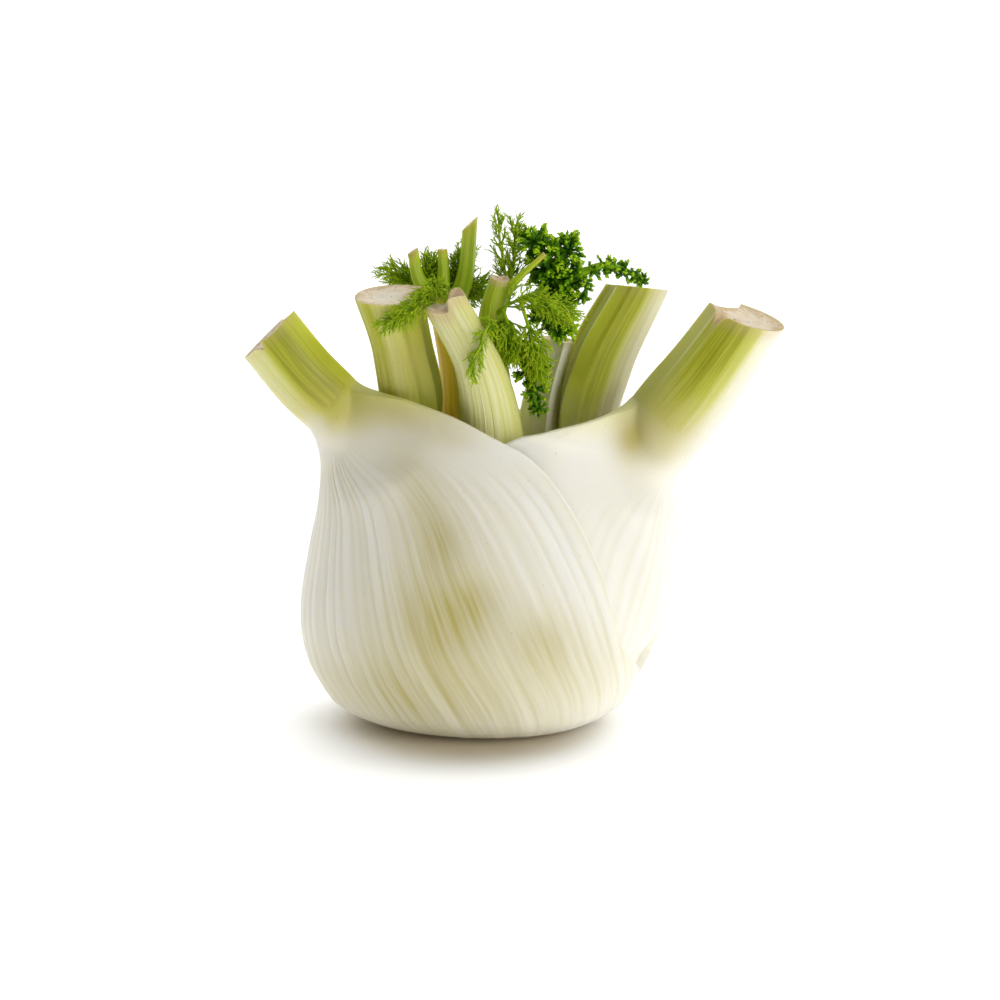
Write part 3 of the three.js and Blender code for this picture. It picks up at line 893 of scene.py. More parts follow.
@dataclass(frozen=True)
class Tone:
    """Where a leaf is green, as shares from white to deep green; the shares also carry painted shade on
    sides turned from the light and painted light in shaded places.
    """

    # Round the stalk, from one lip (-1) over the back (0) to the other lip (1)
    around: Profile
    # In the channel, from lip to lip
    channel: Profile
    # Shares of the stalk between which the green comes in; below 0 is on the sheath
    onset: Pair
    # Round the sheath just below the stalk, where it differs from the stalk
    foot: Profile | None = None
    # Shares of the stalk between which the tone of the foot gives way to that of the stalk
    change: Pair = (-0.12, 0.12)


@dataclass(frozen=True, eq=False)
class Leaf:
    """One leaf: a thick sheath round the bulb that narrows into a stalk.

    Angles are in degrees from the front towards the right, and sizes in mm. The wrap is the angle that the
    sheath spans round the front at each height, and wrap_back the one round the back where that differs.
    lean has the heights between which sheath turns into stalk, along the midrib, front and back margin.
    """

    node: str
    slot: Slot
    facing: float
    base: float
    top: float
    middle: float
    edge: float
    spread: float
    wrap: Profile
    lean: tuple[Pair, Pair, Pair]
    root: Point
    bend: Point
    tip: Point
    width: tuple[Pair, ...]
    thickness: tuple[Pair, ...]
    cut: Point
    tone: Tone
    ribs: int
    columns: int
    rib_height: float = 0.35
    young: bool = False
    wrap_back: Profile | None = None
    sweep: float = 0.0
    gather: float = 0.0
    inset: float = 0.0
    twist: float = 0.0
    # How far the cut end stands out across the stalk, and round its back
    tear: Profile = Profile((-1, 0), (1, 0))
    notch: Profile = Profile((-1, 0), (1, 0))
    dish: float = 0.8
    # Share of browning of the cut end, and how far down the stalk it reaches
    dry: float = 0.3
    parched: float = 0.12
    # Heights between which the ribs flatten out towards the rim in front
    fade: Pair = (150, 160)
    # Half angle that the ribs of the front run at, level by level, where they don't keep to the margin
    course: Profile | None = None
    # How much darker the furrows between the ribs are: partly their own colour, partly painted shade in the
    # grooves
    furrows: float = 1.0
    stubs: tuple[Stub, ...] = ()

    # Height over which the sheath swells from its foot, and how blunt its margins are
    SWELL_HEIGHT = 22
    MARGIN_POWER = 2.2

    @property
    def start(self) -> float:
        """Height at which the midrib begins to lean into the stalk."""
        return self.lean[0][0]

    def is_front(self, turn: Array) -> Array:
        """Tells which turns from the midrib lead round the front."""
        return turn * self.facing < 0

    def wrap_at(self, turn: Array, height: Array) -> Array:
        """Finds the angle that the sheath spans.

        Args:
            turn: Turns from the midrib, whose sign tells front from back.
            height: Heights above the floor.

        Returns:
            Angles in radians.
        """
        front = self.wrap.at(height)
        back = (self.wrap_back or self.wrap).at(height)
        return np.radians(np.where(self.is_front(turn), front, back))

    def sheath_thickness(self, across: Array, height: Array) -> Array:
        """Finds how thick the sheath is.

        Args:
            across: Places from one margin (-1) over the midrib (0) to the other (1).
            height: Heights above the floor.

        Returns:
            Thickness, greatest along the midrib and less near the stem.
        """
        swell = mix(0.5, 1, ramp(height, self.base, self.base + self.SWELL_HEIGHT))
        fullness = 1 - np.abs(across) ** self.MARGIN_POWER
        return (self.edge + (self.middle - self.edge) * fullness) * swell


class Rosette:
    """All leaves, from the outside in, and how they lie on each other."""

    GAP = 0.9
    MARGIN_RAMP = 0.2

    def __init__(self, outline: Outline, leaves: tuple[Leaf, ...]) -> None:
        """Keeps the outline and the leaves.

        Args:
            outline: Outline of the whole bulb.
            leaves: Leaves from the outside in.
        """
        self.outline = outline
        self.leaves = leaves

    def cover(self, leaf: Leaf, angle: Array, height: Array) -> Array:
        """Finds how far a leaf pushes the ones under it inwards.

        Args:
            leaf: The leaf on top.
            angle: Angles from the front, in radians.
            height: Heights above the floor.

        Returns:
            Depths in mm.
        """
        apart = angle - math.radians(leaf.facing)
        turn = np.arctan2(np.sin(apart), np.cos(apart))
        away = np.abs(turn) / leaf.wrap_at(turn, height)
        past = 1 - ramp(away, 1 + self.MARGIN_RAMP / 3, 1 + self.MARGIN_RAMP)
        begun = ramp(height, leaf.base - 4, leaf.base)
        return (leaf.sheath_thickness(np.minimum(away, 1), height) + self.GAP + leaf.inset) * past * begun

    def depth_under(self, leaf: Leaf, angle: Array, height: Array) -> Array:
        """Finds how deep a leaf lies below the outline of the bulb, with arguments as in cover()."""
        depth = np.full(np.broadcast(angle, height).shape, leaf.inset)
        for outer in self.leaves[: self.leaves.index(leaf)]:
            depth = depth + self.cover(outer, angle, height)
        return depth


class LeafSurface:
    """Surface of one leaf, outside and inside, as a function of place."""

    ARC = math.radians(112)
    LIP = 0.75
    LIP_REACH = 0.74
    CHANNEL = 0.25
    # Levels over which the strands gather towards the stalk, and over which they sweep aside
    GATHER_LEVELS = (66, 92)
    SWEEP_LEVELS = (8, 80)
    # Shares of the stalk from which the tear, the notch and the slope of the cut show
    TEAR_FROM = 0.45
    NOTCH_FROM = 0.72
    SLOPE_FROM = 0.3

    def __init__(self, rosette: Rosette, leaf: Leaf) -> None:
        """Lays the stalk's centre line.

        Args:
            rosette: Rosette that the leaf belongs to.
            leaf: The leaf.
        """
        self.rosette = rosette
        self.leaf = leaf
        facing = math.radians(leaf.facing)
        half_foot = leaf.middle / 1.5
        here, start = np.array(facing), np.array(leaf.start)
        sunk = rosette.depth_under(leaf, here, start) + half_foot
        foot = rosette.outline.point(here, start, sunk)
        self.line = Spine(tuple(foot), leaf.root, leaf.bend, leaf.tip, straight=1 if leaf.twist else None)
        self.width = Profile((-1, 1.15 * leaf.width[0][1]), *leaf.width)
        self.thickness = Profile((-1, half_foot), *leaf.thickness)
        turned = math.radians(leaf.facing + leaf.twist)
        self.outwards = np.array([math.sin(turned), -math.cos(turned), 0])

    def share_below(self, level: Array) -> Array:
        """Share of the stalk, below 0, that goes with a level on the sheath."""
        return np.maximum((level - self.leaf.top) / (self.leaf.top - self.leaf.start), -1)

    def stalk_length(self) -> float:
        """Length of the stalk from its root to its tip."""
        steps = self.line.at(np.linspace(1 / 3, 1, 60))
        return float(np.sum(np.linalg.norm(np.diff(steps, axis=0), axis=1)))

    def axes(self, share: Array) -> tuple[Array, Array, Array, Array]:
        """Finds the frame of the stalk.

        Args:
            share: Places along the stalk.

        Returns:
            Its centre, and the directions along it, to its back and across it.
        """
        step = np.where(share < 0, (1 + share) / 3, (1 + 2 * share) / 3)
        along = self.line.tangent(step)
        back = unit(self.outwards - along * dot(along, np.broadcast_to(self.outwards, along.shape)))
        return self.line.at(step), along, back, np.cross(along, back)

    def place_round(self, share: Array, points: Array) -> Array:
        """Finds where points lie round the stalk, from lip (-1) over the back (0) to the other lip (1).

        Args:
            share: Places along the stalk, one to a row.
            points: Points in rows and columns.

        Returns:
            Places in rows and columns.
        """
        centre, _, back, across = self.axes(share)
        offset = points - centre
        backwards = dot(offset, np.broadcast_to(back, offset.shape))[..., 0] / self.thickness.at(share)
        sideways = dot(offset, np.broadcast_to(across, offset.shape))[..., 0] / self.width.at(share)
        return np.arctan2(sideways, backwards) / self.ARC

    def section(self, share: Array, even: Array, inside: bool, lift: Array | float) -> Array:
        """Finds points on the stalk: a rounded back, and a channel on the side that faces the heart.

        Args:
            share: Places along the stalk, one to a row.
            even: Places from lip to lip, one to a column.
            inside: Whether the channel is meant rather than the back.
            lift: How far ribs stand out there.

        Returns:
            Points in rows and columns.
        """
        centre, along, back, across = self.axes(share)
        half_width, half_thickness = self.width.at(share), self.thickness.at(share)
        angle = even * self.ARC
        if inside:
            backwards = half_thickness * (self.CHANNEL * (1 - even**2) - self.LIP)
            sideways = half_width * self.LIP_REACH * even
        else:
            backwards = (half_thickness + lift) * np.cos(angle)
            sideways = (half_width + lift) * np.sin(angle)
        offset = back * backwards[..., None] + across * sideways[..., None]
        cut = unit(np.array(self.leaf.cut))
        slope = (offset @ cut)[..., None] / (along @ cut)[..., None]
        notch = self.leaf.notch
        nick = mix(notch.at(-1), notch.at(1), (even + 1) / 2) if inside else notch.at(even)
        torn = self.leaf.tear.at(sideways / half_width) * ramp(share, self.TEAR_FROM, 1)
        torn = torn + nick * ramp(share, self.NOTCH_FROM, 1)
        sloping = ramp(share, self.SLOPE_FROM, 1)[..., None]
        return centre + offset + along * (torn[..., None] - slope * sloping)

    def point(self, level: Array, share: Array, even: Array, inside: bool, lift: Array | float) -> Array:
        """Finds points on the leaf.

        Args:
            level: Levels on the sheath, one to a row, and its top for rows on the stalk.
            share: Shares of the stalk that go with the levels.
            even: Places from margin to margin, one to a column.
            inside: Whether the inner surface is meant.
            lift: How far the outer surface stands out by its ribs.

        Returns:
            Points in rows and columns.
        """
        leaf = self.leaf
        on_stalk = self.section(share, even, inside, lift)
        gather = leaf.gather * ramp(level, *self.GATHER_LEVELS)
        sweep = leaf.sweep * (1 - ramp(level, *self.SWEEP_LEVELS)) - gather
        turn = even * (1 + sweep * (1 - even**2))
        wrap = leaf.wrap_at(turn, level)
        root = self.section(np.zeros((1, 1)), even, inside, 0.0)[..., 2]
        end = mix(root - 1, leaf.top, even**6)
        height = level + np.maximum(0, level - leaf.start) * (end - leaf.top) / (leaf.top - leaf.start)
        angle = math.radians(leaf.facing) + turn * wrap
        under = self.rosette.depth_under(leaf, angle, height)
        shown = np.maximum(0, 1 - under / self.rosette.GAP)
        sunk = under + (leaf.sheath_thickness(turn, height) if inside else -lift * shown)
        midrib, front_margin, back_margin = leaf.lean
        front = leaf.is_front(turn)
        away = np.abs(even)
        side = np.minimum(away * wrap / math.radians(leaf.spread), 1)
        if leaf.gather:
            side = np.where(front, away**1.5, side)
        low = mix(midrib[0], np.where(front, front_margin[0], back_margin[0]), side)
        high = mix(midrib[1], np.where(front, front_margin[1], back_margin[1]), side)
        leaning = ramp(level, low, high)[..., None]
        return mix(self.rosette.outline.point(angle, height, sunk), on_stalk, leaning)


class Ribs:
    """Strands that run the length of a leaf and stand out as ribs."""

    FINE_PER_RIB = 3
    REACH = 1.1

    def __init__(self, count: int, seed: int) -> None:
        """Draws the places and strengths of the ribs.

        Args:
            count: Broad ribs from margin to margin.
            seed: Number that the draw starts from.
        """
        random = np.random.default_rng(seed)
        gaps = random.uniform(0.55, 1.45, count)
        self.bounds = (np.concatenate([[0], np.cumsum(gaps)]) / np.sum(gaps) * 2 - 1) * self.REACH
        self.strength = random.uniform(0.45, 1, count)
        self.phase = random.uniform(0, 2 * math.pi, count)
        self.pace = random.uniform(0.03, 0.09, count)
        fine = count * self.FINE_PER_RIB
        self.fine_places = random.uniform(-1, 1, fine)
        self.fine_widths = random.uniform(0.09, 0.2, fine) / count
        self.fine_strength = random.uniform(0.1, 0.5, fine) * random.choice([1, 1, -0.7], fine)
        self.fine_ends = random.uniform(0, 110, (2, fine))

    def height(self, along: Array, place: Array) -> Array:
        """Finds the height of the ribs as a share of the tallest.

        Args:
            along: Distances along the leaf, one to a row.
            place: Places from margin (-1) to margin (1), in rows and columns.

        Returns:
            Heights in rows and columns, from 0 in the furrows.
        """
        number = np.clip(np.searchsorted(self.bounds, place, side="right") - 1, 0, len(self.strength) - 1)
        within = (place - self.bounds[number]) / (self.bounds[number + 1] - self.bounds[number])
        crest = np.sin(math.pi * np.clip(within, 0, 1)) ** 0.8
        swell = 0.72 + 0.28 * np.sin(along * self.pace[number] + self.phase[number])
        heights = crest * self.strength[number] * swell
        for middle, width, strength, ends in zip(
            self.fine_places, self.fine_widths, self.fine_strength, np.sort(self.fine_ends, axis=0).T
        ):
            seen = ramp(along, ends[0] - 8, ends[0] + 4) * (1 - ramp(along, ends[1] + 6, ends[1] + 18))
            heights = heights + seen * strength * np.exp(-(((place - middle) / width) ** 2))
        return heights


@dataclass(frozen=True)
class BlushAndShade:
    """Soft patch on the skin: where the flesh shows through, and painted shade where it darkens shaded
    places.
    """

    centre: Point
    reach: Point
    strength: float
    dent: float = 0.0
    streaked: bool = False

    def at(self, points: Array) -> Array:
        """Share of the patch at points in space, 1 in its middle."""
        away = (points - np.array(self.centre)) / np.array(self.reach)
        return np.exp(-np.sum(away**2, axis=-1))


class LeafPiece:
    """Builds and dresses the piece that stands for one leaf."""

    LIP_POINTS = 5
    LIP_BULGE = 0.6
    CUT_RINGS = 9
    CREASE = 48.0
    WAVE = 0.3
    WAVE_SIZE = 19.0
    DIMPLE = 0.1
    DIMPLE_SIZE = 6.0
    NOISE_SEED = 500
    # Distances between rows of points, in mm, and the zone under the top where they are closest
    LOW_STEP = 1.4
    MIDDLE_STEP = 0.9
    HIGH_STEP = 0.3
    STALK_STEP = 0.6
    TOP_ZONE = 8
    # Height of a rib for its width, the widths at which waves set in, and the rib value of plain skin
    RIB_STEEPNESS = 0.15
    BROAD_SPACING = (0.2, 2.5)
    PLAIN_RIB = 0.6
    STALK_ONSET = (-0.12, 0.08)
    SKIN_DRYING = 0.7
    STUB_SIDES = 28
    STUB_STEPS = 26
    STUB_RIBS = 7
    STUB_RELIEF = 0.06

    def __init__(
        self, surface: LeafSurface, blushes_and_shade: tuple[BlushAndShade, ...], palette: Palette, seed: int
    ) -> None:
        """Keeps what the piece is made from.

        Args:
            surface: Surface of the leaf.
            blushes_and_shade: Patches on the skin: flesh showing through, and painted shade.
            palette: Finishes.
            seed: Number that the random draws start from.
        """
        self.surface = surface
        self.leaf = surface.leaf
        self.blushes_and_shade = blushes_and_shade
        self.palette = palette
        self.seed = seed
        self.ribs = Ribs(self.leaf.ribs, seed)
        self.noise = SmoothNoise(seed + self.NOISE_SEED)

    def rows(self) -> tuple[Array, Array]:
        """Spaces the rows of points, closest where the sheath turns into the stalk.

        Returns:
            Levels on the sheath and shares of the stalk, one to a row.
        """
        leaf = self.leaf
        near_top = leaf.top - self.TOP_ZONE
        low = np.arange(leaf.base, leaf.start, self.LOW_STEP)
        middle = np.arange(leaf.start, near_top, self.MIDDLE_STEP)
        high = np.arange(near_top, leaf.top - 0.1, self.HIGH_STEP)
        levels = np.concatenate([low, middle, high])
        stalk = np.linspace(0, 1, int(self.surface.stalk_length() / self.STALK_STEP))
        level = np.concatenate([levels, np.full(len(stalk), leaf.top)])
        share = np.concatenate([self.surface.share_below(levels), stalk])
        return level[:, None], share[:, None]

    def course(self, level: Array, even: Array) -> Array:
        """Finds which rib passes through each point.

        Args:
            level: Levels on the sheath, one to a row.
            even: Places from margin to margin, one to a column.

        Returns:
            Places among the ribs from -1 to 1, in rows and columns.
        """
        if self.leaf.course is None:
            return np.broadcast_to(even, (len(level), even.shape[1]))
        return even * np.where(even > 0, self.leaf.wrap.at(level) / self.leaf.course.at(level), 1)

    def greening(self, share: Array, place: Array, inside: bool) -> Array:
        """Finds how green the skin is, as shares from white to deep green, with the painted shade and
        painted light that the tones carry.

        Args:
            share: Shares of the stalk, one to a row.
            place: Places round the stalk from lip (-1) to lip (1).
            inside: Whether the inner surface is meant.

        Returns:
            Shares in rows and columns.
        """
        tone = self.leaf.tone
        stalk = tone.channel if inside else tone.around
        foot = stalk if inside else tone.foot or stalk
        return mix(foot.at(place) * ramp(share, *tone.onset), stalk.at(place), ramp(share, *tone.change))

    def prominence(self, points: Array, share: Array, even: Array) -> Array:
        """Finds how far the ribs stand out, as a share of their full height.

        Args:
            points: Points of the leaf without ribs, in rows and columns.
            share: Shares of the stalk, one to a row.
            even: Places from margin to margin, one to a column.

        Returns:
            Shares in rows and columns.
        """
        in_front = ramp(-np.sign(self.leaf.facing) * even, 0, 0.3)
        flat = ramp(points[..., 2], *self.leaf.fade) * in_front
        return 1 - flat * (1 - 0.6 * ramp(share, 0, 0.4))

    def ageing(self, points: Array, streaked: bool) -> Array:
        """Sums the patches on the skin: flesh showing through, and painted shade.

        Args:
            points: Points in space, in rows and columns.
            streaked: Whether the patches that follow the strands are meant, or the even ones.

        Returns:
            Strengths in rows and columns.
        """
        kept = [blush for blush in self.blushes_and_shade if blush.streaked == streaked]
        return sum((blush.at(points) * blush.strength for blush in kept), np.zeros(points.shape[:-1]))

    def dent(self, points: Array) -> Array:
        """Sums how deep the skin is hollowed under the patches, in mm, at points in space."""
        return sum((blush.at(points) * blush.dent for blush in self.blushes_and_shade), np.zeros(points.shape[:-1]))

    def build(self) -> bpy.types.Object:
        """Builds the leaf with its cut face and stubs, and hands it to the frame.

        Returns:
            The piece.
        """
        leaf = self.leaf
        level, share = self.rows()
        along = np.where(share > 0, leaf.top + share * self.surface.stalk_length(), level)
        outer = np.linspace(-1, 1, leaf.columns)[None]
        inner = np.linspace(1, -1, leaf.columns // 4)[None]
        plain = self.surface.point(level, share, outer, False, 0.0)
        shown = self.prominence(plain, share, outer)
        course = self.course(level, outer)
        rib = self.ribs.height(along, course) * shown
        spacing = np.linalg.norm(np.diff(plain, axis=1), axis=2).sum(axis=1, keepdims=True) / leaf.ribs
        waves = self.WAVE * self.noise.at(plain, self.WAVE_SIZE)
        waves = waves + self.DIMPLE * self.noise.at(plain, self.DIMPLE_SIZE)
        broad = ramp(spacing, *self.BROAD_SPACING)
        relief = rib * np.minimum(leaf.rib_height, self.RIB_STEEPNESS * spacing) + waves * broad
        relief = relief - self.dent(plain) * broad
        outside = self.surface.point(level, share, outer, False, relief)
        around = self.surface.place_round(share, plain)
        inside = self.surface.point(level, share, inner, True, 0.0)
        right_lip = self._lip(outside[:, -1], inside[:, 0], outside[:, -1] - outside[:, -3])
        left_lip = self._lip(inside[:, -1], outside[:, 0], outside[:, 0] - outside[:, 2])
        rings = np.concatenate([outside, right_lip, inside, left_lip], axis=1)
        rows, ring = rings.shape[:2]
        right, left = np.ones((1, self.LIP_POINTS)), -np.ones((1, self.LIP_POINTS))
        even = np.concatenate([outer, right, inner, left], axis=1)
        green = np.concatenate(
            [
                self.greening(share, around, False),
                self.greening(share, right, False),
                self.greening(share, inner, True),
                self.greening(share, left, False),
            ],
            axis=1,
        )
        crest = np.full((rows, ring), self.PLAIN_RIB)
        crest[:, : leaf.columns] += (rib - self.PLAIN_RIB) * shown * leaf.furrows
        span = float(spacing.max()) * leaf.ribs / 2
        across = np.broadcast_to(even * span, (rows, ring)).copy()
        across[:, : leaf.columns] = course * span
        on_stalk = ramp(share, *self.STALK_ONSET)
        round_stalk = around * leaf.width[0][1] * self.surface.ARC
        across[:, : leaf.columns] = mix(across[:, : leaf.columns], round_stalk, on_stalk)
        grain = np.stack(np.broadcast_arrays(across, along, float(self.seed)), -1)
        dry = leaf.dry * self.SKIN_DRYING * ramp(share, 1 - leaf.parched, 1)
        shape = Shape()
        shape.add(
            rings.reshape(-1, 3),
            ring_faces(rows, ring) + [list(range(ring))[::-1]],
            greening=green.ravel(),
            rib=crest.ravel(),
            # Patches of flesh colour and painted shade, streaked and even
            ageing=self.ageing(rings, True).ravel(),
            tinge=self.ageing(rings, False).ravel(),
            grain=grain.reshape(-1, 3),
            rim=np.ones(rows * ring),
            drying=np.broadcast_to(dry, (rows, ring)).ravel(),
        )
        self._add_cut(shape, rings[-1], (rows - 1) * ring)
        for stub in leaf.stubs:
            self._add_stub(shape, stub)
        skin = self.palette.young_skin if leaf.young else self.palette.skin
        materials = [skin.material, self.palette.cut.material]
        piece = shape.to_object(f"{leaf.node}_skin", materials, self.CREASE)
        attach(piece, BODY)
        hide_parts(leaf.node)
        return piece

    def _lip(self, first: Array, last: Array, away: Array) -> Array:
        """Rounds off the margin between the outer and the inner surface.

        Args:
            first: Ends of the one surface, one to a row.
            last: Ends of the other surface.
            away: Directions that the leaf's margin faces.

        Returns:
            Points between the two, in rows and columns.
        """
        centre, half = (first + last) / 2, (first - last) / 2
        size = np.linalg.norm(half, axis=1, keepdims=True)
        angles = np.linspace(math.pi / 2, -math.pi / 2, self.LIP_POINTS + 2)[1:-1, None, None]
        out = unit(away) * size * self.LIP_BULGE
        return np.moveaxis(centre + half * np.sin(angles) + out * np.cos(angles), 0, 1)

    def _add_cut(self, shape: Shape, rim: Array, first: int) -> None:
        """Closes the cut end with a dished face.

        Args:
            shape: Shape that takes the face.
            rim: Points round the cut.
            first: Number of the first of them in the shape.
        """
        count = len(rim)
        normal = unit(np.array(self.leaf.cut))
        centre = rim.mean(axis=0)
        inwards = 1 - ((np.arange(self.CUT_RINGS) + 1) / self.CUT_RINGS)[:, None, None] ** 0.8
        inwards = np.maximum(inwards, 0.02)
        points = centre + (rim - centre) * inwards
        bumps = 0.35 * self.noise.at(points, 1.7) + 0.25 * self.noise.at(points, 3.9)
        sunk = self.leaf.dish * ramp(1 - inwards, 0.04, 0.5) - bumps[..., None] * (1 - inwards)
        points = points - normal * sunk
        middle = list(range(count * (self.CUT_RINGS - 1), count * self.CUT_RINGS))
        inner = shape.add(
            points.reshape(-1, 3),
            ring_faces(self.CUT_RINGS, count) + [middle],
            1,
            rim=np.broadcast_to(inwards[..., 0], (self.CUT_RINGS, count)).ravel(),
            drying=np.full(self.CUT_RINGS * count, self.leaf.dry),
        )
        bridge = []
        for i in range(count):
            after = (i + 1) % count
            bridge.append([first + i, first + after, inner + after, inner + i])
        shape.add_faces(bridge, 1)

    def _add_stub(self, shape: Shape, stub: Stub) -> None:
        """Adds a cut branch with shallow ribs and a browned end.

        Args:
            shape: Shape that takes the branch.
            stub: The branch.
        """
        sides = self.STUB_SIDES
        steps = self.STUB_STEPS
        path = Spine(*stub.path).stops(steps)
        share = np.linspace(0, 1, steps)
        size = mix(*stub.sizes, ramp(share, 0, 0.9))
        angle = np.linspace(0, 2 * math.pi, sides, endpoint=False)
        crests = np.cos(self.STUB_RIBS * angle)
        ribbed = 1 + self.STUB_RELIEF * crests
        rings = tube_rings(path[None], (size[:, None] * ribbed)[None], angle)[0]
        direction = unit(path[-1] - path[-2])
        tilt = (rings - path[:, None])[..., 0] * stub.slant * ramp(share, 0.5, 1)[:, None]
        rings = rings + direction * tilt[..., None]
        end = path[-1] - direction * 0.5
        burnt = stub.burnt * ramp(share, 0.86, 1)
        across = np.tile(angle * stub.sizes[0], steps)
        first = shape.add(
            rings.reshape(-1, 3),
            ring_faces(steps, sides) + [list(range(sides))[::-1]],
            greening=np.repeat(stub.green - 0.25 * ramp(share, 0.5, 1), sides),
            rib=np.tile(0.5 + 0.5 * crests, steps),
            tinge=np.repeat(burnt, sides),
            grain=np.stack([across, np.repeat(path[:, 2], sides), np.full(steps * sides, 3.0)], -1),
            rim=np.ones(steps * sides),
        )
        middle = mix(rings[-1], end, 0.45)
        browned = np.full(sides, stub.burnt)
        tip = shape.add(middle, [list(range(sides))], 1, rim=np.full(sides, 0.55), drying=browned)
        last = first + (steps - 1) * sides
        for i in range(sides):
            after = (i + 1) % sides
            shape.add_faces([[last + i, last + after, tip + after, tip + i]], 1)


def tube_rings(paths: Array, sizes: Array, angles: Array, flat: float = 1.0) -> Array:
    """Lays rings of points round centre lines.

    Args:
        paths: Centre lines, as lines, points and coordinates.
        sizes: Radii, as lines, points and optionally angles.
        angles: Places round each ring, in radians.
        flat: Thickness of the rings as a share of their width.

    Returns:
        Points as lines, rings, places and coordinates.
    """
    along = unit(np.gradient(paths, axis=1))
    chord = unit(paths[:, -1] - paths[:, 0])
    helper = np.where(np.abs(chord[:, 2:]) < 0.8, [[0.0, 0.0, 1.0]], [[1.0, 0.3, 0.0]])
    side = unit(np.cross(chord, helper))[:, None]
    normal = unit(side - along * dot(along, np.broadcast_to(side, along.shape)))
    other = np.cross(along, normal)
    sizes = sizes if sizes.ndim == 3 else sizes[..., None]
    wide = (sizes * np.cos(angles))[..., None] * normal[:, :, None]
    thin = (sizes * flat * np.sin(angles))[..., None] * other[:, :, None]
    return paths[:, :, None] + wide + thin


@dataclass
class Strands:
    """Thin shoots of one order, all with equal counts of points."""

    paths: Array
    sizes: Array
    youth: Array

    def lengths(self) -> Array:
        """Length of each shoot."""
        return np.linalg.norm(np.diff(self.paths, axis=1), axis=2).sum(axis=1)

    def add_to(self, shape: Shape, sides: int, flat: float = 1.0) -> None:
        """Adds the shoots to a shape as closed tubes.

        Args:
            shape: Shape that takes them.
            sides: Points round each tube.
            flat: Thickness of the tubes as a share of their width.
        """
        angles = np.linspace(0, 2 * math.pi, sides, endpoint=False)
        rings = tube_rings(self.paths, self.sizes, angles, flat)
        count, steps = self.paths.shape[:2]
        faces = np.array(ring_faces(steps, sides))
        caps = np.array([list(range(sides))[::-1], list(range(sides * (steps - 1), sides * steps))])
        starts = np.arange(count)[:, None, None] * (steps * sides)
        every = (faces[None] + starts).reshape(-1, 4).tolist()
        every += (caps[None] + starts).reshape(-1, sides).tolist()
        shape.add(rings.reshape(-1, 3), every, youth=np.repeat(self.youth.ravel(), sides))


@dataclass(frozen=True)
class Branching:
    """How shoots of one order branch off the order before."""

    count: int
    first: float
    last: float
    angle: Pair
    length: Pair
    size: Pair
    points: int
    droop: float = 0.0
    curl: float = 0.0
    ahead: float = 0.3
    youth: Pair = (0.3, 0.9)
    belly: float = 0.0

    def grow(self, parents: Strands, random: np.random.Generator, reach: Array | None = None) -> Strands:
        """Grows shoots from their parents.

        Args:
            parents: Shoots that carry the new ones.
            random: Source of random draws.
            reach: Lengths of the new shoots for each parent, instead of shares of the parent's own length.

        Returns:
            The new shoots.
        """
        total, steps = parents.paths.shape[:2]
        spacing = (self.last - self.first) / max(self.count, 2)
        uneven = random.uniform(-0.5, 0.5, (total, self.count)) * spacing
        places = np.clip(np.linspace(self.first, self.last, self.count) + uneven, 0, 1)
        spot = places * (steps - 1)
        low = np.minimum(spot.astype(int), steps - 2)
        near = (spot - low)[..., None]
        number = np.arange(total)[:, None]
        origin = mix(parents.paths[number, low], parents.paths[number, low + 1], near)
        along = unit(parents.paths[number, low + 1] - parents.paths[number, low])
        helper = unit(random.normal(size=(total, 1, 3)))
        side = unit(np.cross(along, np.broadcast_to(helper, along.shape)))
        other = np.cross(along, side)
        golden = math.pi * (3 - math.sqrt(5))
        turn = np.arange(self.count) * golden + random.uniform(0, 2 * math.pi, (total, 1))
        turn = (turn + random.uniform(-0.4, 0.4, turn.shape))[..., None]
        sideways = side * np.cos(turn) + other * np.sin(turn)
        lean = np.radians(random.uniform(*self.angle, (total, self.count, 1)))
        direction = along * np.cos(lean) + sideways * np.sin(lean)
        basis = parents.lengths() if reach is None else reach
        length = basis[:, None] * random.uniform(*self.length, (total, self.count)) * mix(1.0, 0.62, places)
        share = np.linspace(0, 1, self.points)[:, None]
        curving = along[:, :, None] * self.ahead + np.array([0, 0, -1.0]) * self.droop
        axis = unit(np.cross(direction, along) + 0.4 * random.normal(size=direction.shape))[:, :, None]
        spin = self.curl * random.uniform(0.6, 1.2, (total, self.count, 1, 1)) * share
        ahead = direction[:, :, None]
        curled = ahead * np.cos(spin) + np.cross(axis, ahead) * np.sin(spin)
        steps_out = curled + curving * share
        paths = np.cumsum(steps_out, axis=2) - steps_out[:, :, :1]
        paths = origin[:, :, None] + paths * (length[..., None, None] / (self.points - 1))
        swell = 1 + self.belly * np.sin(math.pi * share[:, 0] ** 0.8)
        taper = mix(self.size[0], self.size[1], share[:, 0]) * swell
        sizes = np.broadcast_to(taper, (total * self.count, self.points))
        youth = np.broadcast_to(mix(*self.youth, share[:, 0]), sizes.shape)
        paths = paths.reshape(-1, self.points, 3)
        return Strands(paths, sizes, youth + random.uniform(-0.12, 0.12, (len(paths), 1)))


